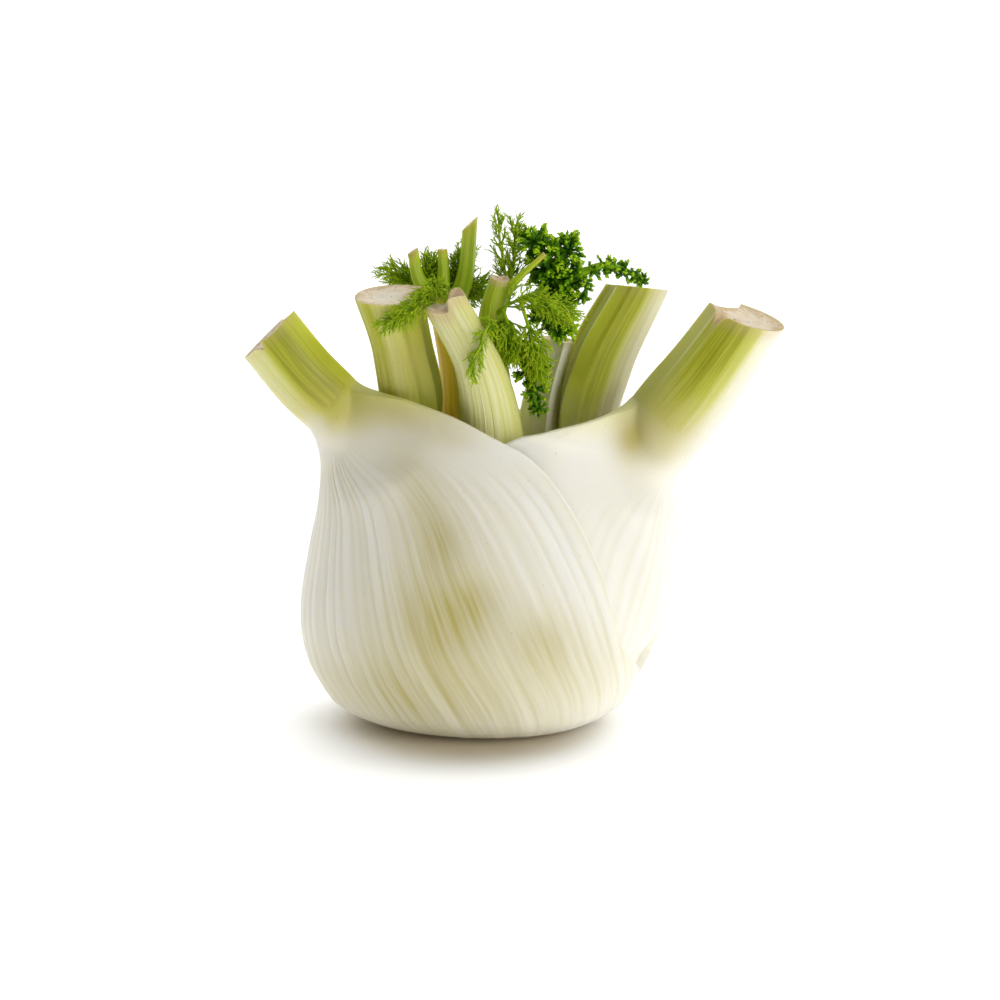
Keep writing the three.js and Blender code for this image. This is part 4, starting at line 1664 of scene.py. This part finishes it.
@dataclass(frozen=True)
class Frond:
    """Part of a leaf blade left on the bulb."""

    node: str
    stems: tuple[tuple[Point, ...], ...]
    sizes: Pair

    STEM_POINTS = 26
    STEM_SIDES = 8

    def stem_strands(self) -> Strands:
        """Lays the stems of the frond.

        Returns:
            The stems.
        """
        paths = np.stack([Spine(*stem).stops(self.STEM_POINTS) for stem in self.stems])
        taper = np.linspace(*self.sizes, self.STEM_POINTS)
        sizes = np.broadcast_to(taper, paths.shape[:2])
        youth = np.linspace(0.75, 0.45, self.STEM_POINTS)
        return Strands(paths, sizes, np.broadcast_to(youth, sizes.shape))

    def hand_over(self, shape: Shape, finish: Finish, slot: Slot, name: str) -> bpy.types.Object:
        """Makes a piece and hands it to the frame.

        Args:
            shape: Shape of the piece.
            finish: Its finish.
            slot: Material slot of the record; not used.
            name: Name of the piece.

        Returns:
            The piece.
        """
        piece = shape.to_object(name, [finish.material], None)
        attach(piece, BODY)
        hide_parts(self.node)
        return piece


@dataclass(frozen=True)
class FeatheryFrond(Frond):
    """Frond of fine threads that fork and fork again."""

    pairs: int = 6
    reach: float = 6.0
    droop: float = 0.0
    first: float = 0.3

    def build(self, palette: Palette, seed: int) -> list[bpy.types.Object]:
        """Builds the frond.

        Args:
            palette: Finishes.
            seed: Number that the random draws start from.

        Returns:
            The pieces.
        """
        random = np.random.default_rng(seed)
        stems = self.stem_strands()
        reach = np.full(len(self.stems), self.reach)
        twigs = Branching(
            2 * self.pairs, self.first, 1.0, (35, 60), (0.8, 1.15), (0.26, 0.17), 9,
            self.droop, 0.3, 0.4, (0.2, 0.6),
        ).grow(stems, random, reach)
        sprays = Branching(
            6, 0.2, 0.95, (32, 55), (0.4, 0.65), (0.18, 0.13), 7, self.droop, 0.3, 0.4, (0.3, 0.75)
        ).grow(twigs, random)
        threads = Branching(
            2, 0.3, 0.8, (25, 48), (0.5, 0.8), (0.14, 0.1), 6, self.droop, 0.3, 0.3, (0.4, 1.0)
        ).grow(sprays, random)
        shape = Shape()
        stems.add_to(shape, self.STEM_SIDES)
        twigs.add_to(shape, 5)
        sprays.add_to(shape, 4)
        threads.add_to(shape, 3)
        return [self.hand_over(shape, palette.feathery, Slot.FEATHERY, f"{self.node}_leaves")]


@dataclass(frozen=True)
class CurlyFrond(Frond):
    """Frond of curly young leaflets in dense tufts along its stems."""

    # Middles and radii of the tufts; each group of them becomes a piece of its own
    groups: tuple[tuple[tuple[Point, float], ...], ...] = ()

    SPRIGS = 34
    USUAL_SIZE = 5.0
    LEAST_SPRIGS = 14
    SPRIG_POINTS = 6

    def build(self, palette: Palette, seed: int) -> list[bpy.types.Object]:
        """Builds the frond.

        Args:
            palette: Finishes.
            seed: Number that the random draws start from.

        Returns:
            The pieces.
        """
        random = np.random.default_rng(seed)
        pieces = []
        for number, tufts in enumerate(self.groups):
            shape = Shape()
            if number == 0:
                self.stem_strands().add_to(shape, self.STEM_SIDES)
            for centre, size in tufts:
                sprigs = self._sprigs(np.array(centre), size, random)
                fineness = mix(0.72, 1.0, ramp(size, 2, 5))
                leaflets = Branching(
                    8, 0.35, 1.0, (35, 85), (0.32, 0.5), (0.32 * fineness, 0.28 * fineness), 5,
                    curl=1.4, ahead=0.2, belly=0.4,
                ).grow(sprigs, random)
                lobes = Branching(
                    4, 0.4, 1.0, (35, 80), (0.42, 0.72), (0.32 * fineness, 0.24 * fineness), 4,
                    curl=1.1, ahead=0.2, belly=0.7,
                ).grow(leaflets, random)
                sprigs.add_to(shape, 5)
                for shoots in (leaflets, lobes):
                    shoots.youth = self._depth_shade(shoots.paths, random)
                    shoots.add_to(shape, 4, 0.5)
            name = f"{self.node}_leaves_{number + 1}"
            pieces.append(self.hand_over(shape, palette.curly, Slot.CURLY, name))
        return pieces

    def _depth_shade(self, paths: Array, random: np.random.Generator) -> Array:
        """Finds the tone of the leaflets: bright at the outside of the tufts, dark inside as painted shade.

        Args:
            paths: Centre lines of the leaflets.
            random: Source of random draws.

        Returns:
            Shares from dark, painted shade (0) to bright (1), as lines and points.
        """
        outside = np.full(paths.shape[:2], np.inf)
        for tufts in self.groups:
            for centre, size in tufts:
                outside = np.minimum(outside, np.linalg.norm(paths - np.array(centre), axis=2) / size)
        return ramp(outside, 0.62, 1.12) + random.uniform(-0.16, 0.16, (len(paths), 1))

    def _sprigs(self, centre: Array, size: float, random: np.random.Generator) -> Strands:
        """Sends sprigs out on all sides of a tuft's middle.

        Args:
            centre: Middle of the tuft.
            size: Radius of the tuft.
            random: Source of random draws.

        Returns:
            The sprigs.
        """
        count = max(int(self.SPRIGS * (size / self.USUAL_SIZE) ** 2), self.LEAST_SPRIGS)
        number = np.arange(count) + 0.5
        height = 1 - 2 * number / count
        angle = number * math.pi * (1 + math.sqrt(5)) + random.uniform(-0.3, 0.3, count)
        flat = np.sqrt(1 - height**2)
        out = np.stack([flat * np.cos(angle), flat * np.sin(angle), height], -1)
        out = unit(out + random.normal(scale=0.22, size=out.shape))
        share = np.linspace(0, 1, self.SPRIG_POINTS)[None, :, None]
        reach = size * random.uniform(0.72, 1.02, count)[:, None, None]
        side = unit(np.cross(out, random.normal(size=out.shape)))[:, None]
        paths = centre + out[:, None] * reach * mix(0.15, 1.0, share) + side * reach * 0.22 * share**2
        sizes = np.broadcast_to(np.linspace(0.45, 0.28, self.SPRIG_POINTS), paths.shape[:2])
        # Darker towards the tuft's middle: painted shade
        youth = np.broadcast_to(np.linspace(0.0, 0.35, self.SPRIG_POINTS), sizes.shape)
        return Strands(paths, sizes, youth)


@dataclass(frozen=True)
class StemCore:
    """Short stem that carries the sheaths, with the trimmed root scar that the bulb stands on."""

    node: str = "stem_core"
    rings: tuple[tuple[float, float, float], ...] = (
        (0, 20.5, 14.5),
        (3, 21.5, 15),
        (6, 20.5, 14),
        (10, 15.5, 10),
        (16, 10, 6.5),
        (24, 6, 4.5),
        (32, 3, 3),
    )
    columns: int = 128
    rows: int = 40
    strand_marks: int = 23

    SOLE_RINGS = 14

    def build(self, palette: Palette, seed: int) -> bpy.types.Object:
        """Builds the stem.

        Args:
            palette: Finishes.
            seed: Number that the random draws start from.

        Returns:
            The piece.
        """
        noise = SmoothNoise(seed)
        width = Profile(*[(height, half) for height, half, _ in self.rings])
        depth = Profile(*[(height, half) for height, _, half in self.rings])
        angle = np.linspace(0, 2 * math.pi, self.columns, endpoint=False)[None]
        height = np.linspace(0, self.rings[-1][0], self.rows)[:, None]
        ribbed = 1 + 0.015 * np.cos(self.strand_marks * angle) * ramp(height, 0, 3)
        x = width.at(height) * ribbed * np.cos(angle)
        y = depth.at(height) * ribbed * np.sin(angle)
        sides = np.stack(np.broadcast_arrays(x, y, height), -1)
        inwards = np.linspace(0.96, 0.02, self.SOLE_RINGS)[:, None]
        level = np.zeros((self.SOLE_RINGS, self.columns))
        sole = np.stack([sides[0, :, 0] * inwards, sides[0, :, 1] * inwards, level], -1)
        rough = np.maximum(noise.at(sole, 2.2) + 0.6 * noise.at(sole, 0.9), 0)
        sole[..., 2] += 0.5 * rough * ramp(1 - inwards, 0.08, 0.2)
        points = np.concatenate([sole[::-1], sides])
        count = len(points)
        shape = Shape()
        last = list(range(self.columns * (count - 1), self.columns * count))
        faces = ring_faces(count, self.columns) + [list(range(self.columns))[::-1], last]
        shape.add(points.reshape(-1, 3), faces)
        piece = shape.to_object("stem_core_scar", [palette.scar.material], 40.0)
        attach(piece, BODY)
        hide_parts(self.node)
        return piece


LEAVES = (
    Leaf(
        node="leaf_outer_left", slot=Slot.SHEATH, facing=-104, base=0.8, top=95.6, middle=10,
        edge=1.6, spread=50,
        sweep=0.1, gather=0.2, twist=36,
        wrap=Profile(
            (0, 172), (14, 176), (28, 152), (49, 140), (69, 127), (80, 116),
            (86, 102), (90, 90), (92.4, 78), (94.2, 66), (95.6, 54),
        ),
        course=Profile(
            (0, 176), (14, 163), (28, 152), (49, 140), (69, 127), (80, 116),
            (86, 102), (90, 90), (92.4, 78), (94.2, 66), (95.6, 54),
        ),
        wrap_back=Profile(
            (0, 170), (8, 165), (14, 156), (28, 138), (49, 130), (66, 122), (75, 108),
            (79.5, 94), (81.6, 78), (82.8, 58), (84, 40), (86, 28), (95.6, 18),
        ),
        lean=((58, 88), (93.6, 95.6), (82, 92)),
        root=(-42.6, -3.8, 89.8), bend=(-49.6, -4.4, 97.2), tip=(-58.4, -5, 108.6),
        width=((0, 10.4), (1, 9.3)), thickness=((0, 9), (1, 9.2)), cut=(-0.7, 0.04, 0.71),
        tone=Tone(
            Profile(
                (-1, 0.5), (-0.5, 0.4), (-0.2, 0.3), (0.2, 0.32), (0.41, 0.46), (0.5, 0.94),
                (0.62, 1.0), (0.74, 1.0), (0.86, 0.9), (1, 0.75),
            ),
            Profile((-1, 0.5), (0, 0.45), (1, 0.5)),
            (-0.24, 0.12),
            Profile((-1, 0.2), (-0.4, 0.05), (0.3, 0.1), (0.5, 0.6), (0.65, 0.8), (0.85, 0.8), (1, 0.7)),
            (-0.1, 0.3),
        ),
        notch=Profile((-1, 0), (0.3, 0), (0.38, -0.7), (0.44, -1.4), (0.5, 0.4), (0.6, 0), (1, 0)),
        ribs=58, columns=440, rib_height=0.38, fade=(70, 84),
    ),
    Leaf(
        node="leaf_outer_right", slot=Slot.SHEATH, facing=104, base=3.2, top=91.2, middle=9,
        edge=1.6, spread=50,
        sweep=0.1, gather=0.3, twist=-50,
        wrap=Profile(
            (3, 168), (20, 160), (45, 150), (66, 132), (78, 112),
            (84.5, 93), (86.6, 81), (87.8, 70), (89, 60), (90.2, 53), (91.2, 48),
        ),
        wrap_back=Profile((3, 160), (30, 130), (50, 100), (60, 62), (66, 38), (72, 22), (78, 16)),
        lean=((56, 85), (89, 91.2), (70, 80)),
        root=(47.8, -7.6, 85.4), bend=(56.2, -8.6, 96.8), tip=(67.8, -9.8, 114.2),
        width=((0, 11.6), (1, 9.6)), thickness=((0, 11), (1, 9.8)), cut=(0.28, -0.1, 0.95),
        tone=Tone(
            Profile(
                (-1, 0.5), (-0.97, 0.3), (-0.92, 0.72), (-0.69, 0.8), (-0.44, 0.84), (-0.34, 0.7),
                (-0.22, 0.38),
                (-0.12, 0.12), (0.18, 0.02), (0.5, 0.06), (1, 0.5),
            ),
            Profile((-1, 0.6), (1, 0.5)),
            (-0.25, 0.15),
            Profile(
                (-1, 0.5), (-0.59, 0.44), (-0.44, 0.4), (-0.32, 0.3), (-0.18, 0.12), (-0.02, 0), (1, 0),
            ),
            (-0.05, 0.8),
        ),
        notch=Profile(
            (-1, 0.4), (-0.94, -0.4), (-0.86, -3.4), (-0.78, -0.4), (-0.68, 0.2), (-0.5, 0), (1, 0),
        ),
        ribs=46, columns=400, rib_height=0.2, fade=(60, 78), furrows=0.6, dry=0.5,
    ),
    Leaf(
        node="leaf_second_left", slot=Slot.STALK, facing=-96, base=7, top=86, middle=9, edge=1.4,
        spread=34, inset=0.3,
        wrap=Profile((8, 150), (30, 120), (55, 92), (68, 70), (78, 46), (86, 28)),
        lean=((56, 80), (80, 86), (80, 86)),
        root=(-20.4, -4.8, 86), bend=(-22.6, -5.6, 104), tip=(-26, -6.2, 119.2),
        width=((0, 9.4), (0.6, 8.4), (1, 9.6)), thickness=((0, 9.1), (0.6, 8.5), (1, 9.7)),
        cut=(-0.05, -0.1, 0.99),
        tone=Tone(
            Profile(
                (-1, 0.55), (0.05, 0.6), (0.3, 0.66), (0.55, 0.62), (0.7, 0.52), (0.86, 0.6),
                (0.94, 0.74), (1, 0.85),
            ),
            Profile((-1, 0.8), (1, 0.85)),
            (-0.5, -0.1),
        ),
        ribs=24, columns=200, rib_height=0.2, dry=0.15,
    ),
    Leaf(
        node="leaf_second_right", slot=Slot.STALK, facing=98, base=12, top=78.6, middle=9, edge=1.4,
        spread=34, inset=1.6,
        wrap=Profile((12, 140), (30, 116), (52, 88), (64, 64), (72, 42), (78.6, 28)),
        wrap_back=Profile((12, 120), (30, 92), (50, 56), (62, 34), (70, 28)),
        lean=((52, 72), (73, 78.6), (58, 70)),
        root=(25, 9, 80), bend=(29.6, 9.6, 99), tip=(39.2, 10, 118.4),
        width=((0, 8.6), (1, 7.6)), thickness=((0, 9.2), (0.4, 9.5), (1, 8.2)), cut=(0.1, 0.18, 0.97),
        tone=Tone(
            Profile(
                (-1, 0.86), (-0.84, 0.9), (-0.76, 0.84), (-0.66, 0.42), (-0.56, 0.22), (-0.3, 0.16),
                (1, 0.8),
            ),
            Profile((-1, 0.76), (1, 0.76)),
            (-0.6, 0.1),
            # Pale foot: partly blanched skin, partly painted light that lifts the shaded crevice between
            # the leaves
            Profile((-1, 0.2), (-0.82, 0.2), (-0.66, 0.14), (-0.5, 0.12), (1, 0.12)),
            (-0.2, 0.55),
        ),
        ribs=22, columns=190, rib_height=0.16,
    ),
    Leaf(
        node="leaf_third_front", slot=Slot.STALK, facing=-8, base=18, top=80, middle=7, edge=1.4,
        spread=34, inset=0.6,
        wrap=Profile((18, 112), (35, 90), (55, 60), (68, 38), (80, 28)),
        lean=((58, 76), (74, 80), (74, 80)),
        root=(0.2, -14.4, 80), bend=(-2.6, -16, 101), tip=(-11.6, -16, 119),
        width=((0, 8.7), (0.3, 7.3), (0.65, 5.8), (1, 5.6)), thickness=((0, 7), (1, 5)),
        cut=(-0.12, -0.15, 0.98),
        tone=Tone(
            Profile((-1, 0.62), (-0.7, 0.5), (-0.4, 0.36), (0, 0.32), (0.4, 0.36), (0.7, 0.42), (1, 0.6)),
            Profile((-1, 0.6), (1, 0.6)),
            (-0.6, 0.0),
        ),
        ribs=18, columns=170, rib_height=0.2, dry=0.85,
        tear=Profile((-1, -0.8), (0.12, -1.0), (0.34, 2.2), (0.8, 2.6), (1, 1.8)),
    ),
    Leaf(
        node="leaf_third_back", slot=Slot.STALK, facing=155, base=59, top=76, middle=6, edge=1.4,
        spread=34, inset=8.3,
        wrap=Profile((59, 24), (76, 24)),
        lean=((59, 72), (66, 76), (66, 76)),
        root=(12.6, 9, 76), bend=(14.5, 9.4, 90), tip=(18.4, 10, 104),
        width=((0, 5.6), (1, 4.4)), thickness=((0, 5.4), (1, 4.2)), cut=(0.1, 0, 0.99),
        # Pale tone: partly the stalk's own cream, partly painted light that lifts it out of the shade of
        # its neighbours
        tone=Tone(
            Profile((-1, 0.14), (1, 0.14)), Profile((-1, 0.08), (-0.2, 0.12), (0.3, 0.3), (1, 0.4)),
            (-0.9, 0.0)
        ),
        ribs=12, columns=90, rib_height=0.15,
    ),
    Leaf(
        node="leaf_inner_left", slot=Slot.STALK, facing=-150, base=51, top=76, middle=5, edge=1.4,
        spread=34, inset=3,
        wrap=Profile((51, 32), (64, 30), (76, 26)),
        lean=((54, 68), (66, 76), (66, 76)),
        root=(-8.8, 9, 76), bend=(-9.4, 9.4, 96), tip=(-13.4, 10.4, 116.5),
        width=((0, 4.8), (1, 3.6)), thickness=((0, 4.8), (1, 3.6)), cut=(-0.1, 0, 0.99),
        # Low tone: partly the stalk's own olive yellow, partly painted light in the deep gap it stands in
        tone=Tone(Profile((-1, 0.4), (1, 0.4)), Profile((-1, 0.36), (1, 0.36)), (-0.9, 0.0)),
        ribs=12, columns=90, rib_height=0.15, young=True,
        stubs=(
            Stub(((-13.6, 10.4, 114), (-19, 10.8, 120), (-20.8, 11, 128)), (2.4, 1.5), 0.9, 0.4, 1.0),
            Stub(((-13.4, 10.4, 115), (-12.6, 11, 121), (-12.8, 11.4, 128.4)), (2.2, 1.3), 0.9, 0.0, 0.5),
            Stub(((-10.6, 10.4, 111), (-6.8, 10.6, 121), (-5.4, 11, 135.4)), (2.6, 1.9), 0.9, 1.1, 0.3),
        ),
    ),
    Leaf(
        node="leaf_inner_front", slot=Slot.STALK, facing=20, base=59, top=76, middle=4, edge=1.4,
        spread=34, inset=1.5,
        wrap=Profile((59, 30), (76, 26)),
        lean=((59, 72), (66, 76), (66, 76)),
        root=(4, -2.4, 78), bend=(0.4, -3.6, 112), tip=(2.8, -4, 123.4),
        width=((0, 4.4), (0.5, 3.4), (1, 2.5)), thickness=((0, 4.4), (1, 2.4)), cut=(0.2, -0.2, 0.96),
        tone=Tone(Profile((-1, 0.84), (1, 0.84)), Profile((-1, 0.8), (1, 0.8)), (-0.9, 0.0)),
        ribs=11, columns=90, rib_height=0.15, dry=1.0, young=True,
        stubs=(Stub(((1.4, -4, 115.5), (6, -4, 121.6), (14.6, -3, 129.6)), (1.5, 0.7), 0.9, 0.0, 0.8),),
    ),
)

# Painted shade: dark yellow in the nook where the front margin of the right leaf meets its stalk, and a
# faint darkening over the lit white of the right leaf
NOOK_SHADE = (
    BlushAndShade((36.8, -14, 83), (4.5, 10, 6), 0.75, 0.2),
    BlushAndShade((46, -18, 88), (10, 14, 10), 0.5),
    BlushAndShade((43, -22, 77), (9, 12, 8), 0.32),
    BlushAndShade((60, -8, 98), (11, 14, 16), 0.1),
)

# Painted shade on the thick stalk at the left
THICK_STALK_SHADE = (BlushAndShade((-21, -14, 103), (9, 12, 9), 0.55),)

# Yellowish flesh shows through the outer sheath in a chain of hollows beside its midrib; the broad patches
# low on the front and those round the neck of the stalk are painted shade
BLUSHES_AND_SHADE = (
    BlushAndShade((-24, -20, 91), (13, 10, 5), 0.55),
    BlushAndShade((-38, -12, 88), (9, 10, 8), 0.5),
    BlushAndShade((-10.5, -27, 86), (9, 9, 5), 0.35),
    BlushAndShade((-24, -26, 80), (8, 10, 7), 0.36, 0.6),
    BlushAndShade((-18.5, -31, 69), (6, 9, 8), 0.36, 0.8, True),
    BlushAndShade((-13.5, -34, 59), (6, 9, 8), 0.45, 0.9, True),
    BlushAndShade((-4, -36, 44), (8, 10, 9), 0.4, 0.7, True),
    BlushAndShade((-16, -34, 40), (13, 14, 14), 0.5, 0.0, True),
    BlushAndShade((-14, -34, 50), (16, 16, 34), 0.14, 0.0, True),
    BlushAndShade((14, -34, 32), (10, 12, 10), 0.45, 0.0, True),
    BlushAndShade((-5, -33, 14), (26, 18, 12), 0.42, 0.0, True),
    BlushAndShade((-30, -27, 17), (16, 16, 14), 0.38, 0.0, True),
    BlushAndShade((26, -28, 22), (10, 14, 12), 0.25, 0.0, True),
    BlushAndShade((-40, -14, 71), (6, 10, 9), 0.12),
    BlushAndShade((-47, -12, 92), (8, 10, 9), 0.25),
    BlushAndShade((-6, -35, 29), (20, 16, 13), 0.28),
    BlushAndShade((-43, -10, 15), (9, 14, 12), 0.25),
)

PATCHES = {"leaf_outer_left": BLUSHES_AND_SHADE, "leaf_outer_right": NOOK_SHADE, "leaf_second_left": THICK_STALK_SHADE}

FEATHERY = (
    FeatheryFrond(
        "frond_left_upper",
        (
            ((-12.6, 10.6, 109), (-15.9, 14.9, 112), (-19.5, 16, 118), (-26, 16, 121)),
            ((-15.9, 14.9, 112), (-10.5, 16, 118), (-7.6, 16, 125)),
            ((-15.9, 14.9, 112), (-13, 14.6, 115.5), (-3.4, 14, 117.5)),
            ((-15.9, 14.9, 112), (-17, 15, 117), (-15.6, 15.4, 123)),
        ),
        (0.55, 0.3), 20, 6.4, 0.1,
    ),
    FeatheryFrond(
        "frond_left_fringe",
        (
            (
                (-12.6, 9.6, 113), (-11.6, 7, 117), (-13, -2, 120.5), (-16.5, -13, 120.5),
                (-21, -18, 117.6), (-27, -18.6, 114),
            ),
        ),
        (0.5, 0.28), 26, 5.0, 0.2,
    ),
    FeatheryFrond(
        "frond_front_sprig",
        (((0.6, -4, 106), (1.2, -8.8, 109), (1.2, -14, 113.5), (-1, -22, 112.6), (-4.6, -25, 103)),),
        (0.45, 0.25), 8, 4.6, 0.3,
    ),
    FeatheryFrond(
        "frond_top_fine",
        (
            ((0.8, -3, 107), (3.6, 0.8, 112), (4.2, 3, 122), (2.8, 3.2, 131), (2.4, 3, 137.4)),
            ((3.6, 0.8, 112), (5.8, 3.4, 122), (6.8, 4, 136)),
        ),
        (0.5, 0.25), 11, 4.4, -0.1,
    ),
    FeatheryFrond(
        "frond_mid_fine",
        (
            ((0.8, -4, 112), (3.4, -8, 115.8), (8, -9.6, 118.5), (14, -10.4, 118), (21, -9.6, 114.5)),
            ((8, -9.6, 118.5), (11, -12.6, 109), (13, -13, 100)),
            ((3.4, -8, 115.8), (5, -11.4, 111.5), (5.2, -13, 105)),
        ),
        (0.55, 0.28), 15, 5.8, 0.15,
    ),
)

CURLY = (
    CurlyFrond(
        "frond_crown_curly",
        (
            ((18.3, 9.8, 102), (18.6, 6, 111), (17.6, 3, 120), (13, 3, 133)),
            ((17.6, 3, 120), (19, 2.8, 126), (20.4, 3, 131)),
            ((17.6, 3, 120), (23.4, 0.8, 123.2), (30, -0.2, 126), (36, -0.2, 124.6), (41.2, 0, 121.8)),
        ),
        (1.4, 0.6),
        (
            (
                ((11.8, 3, 132), 4.8), ((20.6, 3, 129.8), 4.8), ((16.4, 2.6, 129.6), 4.2),
                ((14.8, 2.4, 125), 5.6),
            ),
            (
                ((20.4, 2.2, 122.6), 5.4), ((17.4, 2.6, 117), 6.2), ((18.2, 4, 109.4), 5.2),
                ((13.4, 1.4, 113), 4.4),
            ),
            (
                ((25.4, 0.4, 120.6), 3.0), ((24.4, 0.4, 117.4), 2.4), ((27.4, 0.1, 124.6), 2.6),
                ((30.2, -0.2, 125.8), 2.8), ((33, -0.2, 125.4), 2.9), ((35.8, -0.2, 124.6), 2.9),
                ((38.4, 0, 123.3), 2.6), ((40.6, 0, 122), 2.1),
            ),
        ),
    ),
    CurlyFrond(
        "frond_drop_curly",
        (
            ((1, -4, 113), (5.4, -6.4, 111.5), (7.2, -8.6, 106), (10.2, -9, 97.5), (13, -8.4, 88)),
            ((7.4, -8.7, 105), (11.8, -8.4, 102.6), (14.2, -8, 97)),
        ),
        (0.8, 0.45),
        (
            (
                ((3.8, -7.6, 110.6), 2.2), ((5.6, -8.8, 107), 2.7), ((7.2, -8.8, 104), 3.0),
                ((9.4, -9, 98.6), 3.6), ((12.8, -8.4, 101), 3.6),
                ((11, -8.8, 105), 2.6), ((12, -8.6, 94), 3.6), ((13, -8.4, 89), 2.8),
            ),
        ),
    ),
)


@dataclass(frozen=True)
class Lamp:
    """Broad soft light, placed by its turn from the front towards the right and its height, in degrees."""

    name: str
    turn: float
    height: float
    strength: float
    softness: float


@dataclass(frozen=True)
class Studio:
    """White sweep, soft light and the camera."""

    target: Point = (2.7, 0, 61.8)
    elevation: float = 14.0
    distance: float = 900.0
    focal: float = 119.9
    sensor: float = 36.0
    floor_reach: float = 9.0
    sky: float = 0.06
    lamps: tuple[Lamp, ...] = (
        Lamp("key_light", 46.0, 18.0, 1.36, 40.0),
        Lamp("edge_light", 122.0, 35.0, 0.95, 50.0),
        Lamp("fill_light", -115.0, 14.0, 0.72, 60.0),
        Lamp("top_light", 180.0, 66.0, 1.55, 90.0),
    )

    def build(self) -> None:
        """Builds the floor, the lights and the camera."""
        self._floor()
        self._light()
        self._camera()

    def _floor(self) -> None:
        """Lays a large matt floor."""
        reach, cells = self.floor_reach, 6
        side = np.linspace(-reach, reach, cells + 1)
        points = [(x, y, 0.0) for y in side for x in side]
        faces = []
        for row in range(cells):
            for column in range(cells):
                corner = row * (cells + 1) + column
                faces.append([corner, corner + 1, corner + cells + 2, corner + cells + 1])
        mesh = bpy.data.meshes.new("studio_floor")
        mesh.from_pydata(points, [], faces)
        mesh.materials.append(MattSweep().material)
        floor = bpy.data.objects.new("studio_floor", mesh)
        bpy.context.scene.collection.objects.link(floor)

    def _light(self) -> None:
        """Sets a white surround and broad soft lamps."""
        scene = bpy.context.scene
        scene.view_settings.view_transform = "Standard"
        world = bpy.data.worlds.new("white_surround")
        world.use_nodes = True
        tree = world.node_tree
        tree.nodes.clear()
        lit = add_node(tree, "ShaderNodeBackground", {"Strength": self.sky, "Color": linear("#ffffff")})
        seen = add_node(tree, "ShaderNodeBackground", {"Strength": 1.0, "Color": linear("#ffffff")})
        path = add_node(tree, "ShaderNodeLightPath")
        shares = {0: path.outputs["Is Camera Ray"], 1: lit.outputs[0], 2: seen.outputs[0]}
        both = add_node(tree, "ShaderNodeMixShader", shares)
        add_node(tree, "ShaderNodeOutputWorld", {"Surface": both.outputs[0]})
        scene.world = world
        for lamp in self.lamps:
            light = bpy.data.lights.new(lamp.name, "SUN")
            light.energy = lamp.strength
            light.angle = math.radians(lamp.softness)
            holder = bpy.data.objects.new(lamp.name, light)
            turn, height = math.radians(lamp.turn), math.radians(lamp.height)
            flat = math.cos(height)
            towards = Vector((math.sin(turn) * flat, -math.cos(turn) * flat, math.sin(height)))
            holder.rotation_euler = towards.to_track_quat("Z", "Y").to_euler()
            scene.collection.objects.link(holder)

    def _camera(self) -> None:
        """Sets the camera at the photograph's angle."""
        lens = bpy.data.cameras.new("camera")
        lens.lens = self.focal
        lens.sensor_width = self.sensor
        lens.clip_end = 100
        camera = bpy.data.objects.new("camera", lens)
        height = math.radians(self.elevation)
        back = Vector((0, -math.cos(height), math.sin(height)))
        camera.location = (Vector(self.target) + back * self.distance) * MM
        camera.rotation_euler = back.to_track_quat("Z", "Y").to_euler()
        bpy.context.scene.collection.objects.link(camera)
        bpy.context.scene.camera = camera


def corners(bounds: tuple[Vector, Vector]) -> list[list[float]]:
    """Turns a box into plain lists.

    Args:
        bounds: Lowest and highest corner.

    Returns:
        The corners as lists of numbers.
    """
    return [[float(x) for x in corner] for corner in bounds]


def report(piece: bpy.types.Object) -> None:
    """Logs a piece with its count of faces."""
    LOG.info("%s: %d faces", piece.name, len(piece.data.polygons))


def main() -> None:
    """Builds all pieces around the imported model, and the studio."""
    logging.basicConfig(level=logging.INFO, format="%(name)s: %(message)s")
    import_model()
    palette = Palette()
    report(StemCore().build(palette, STEM_SEED))
    rosette = Rosette(Outline(), LEAVES)
    for number, leaf in enumerate(LEAVES):
        blushes_and_shade = PATCHES.get(leaf.node, ())
        report(LeafPiece(LeafSurface(rosette, leaf), blushes_and_shade, palette, LEAF_SEED + number).build())
    for number, frond in enumerate(FEATHERY + CURLY):
        for piece in frond.build(palette, FROND_SEED + number):
            report(piece)
    Studio().build()


if __name__ == "__main__":
    main()
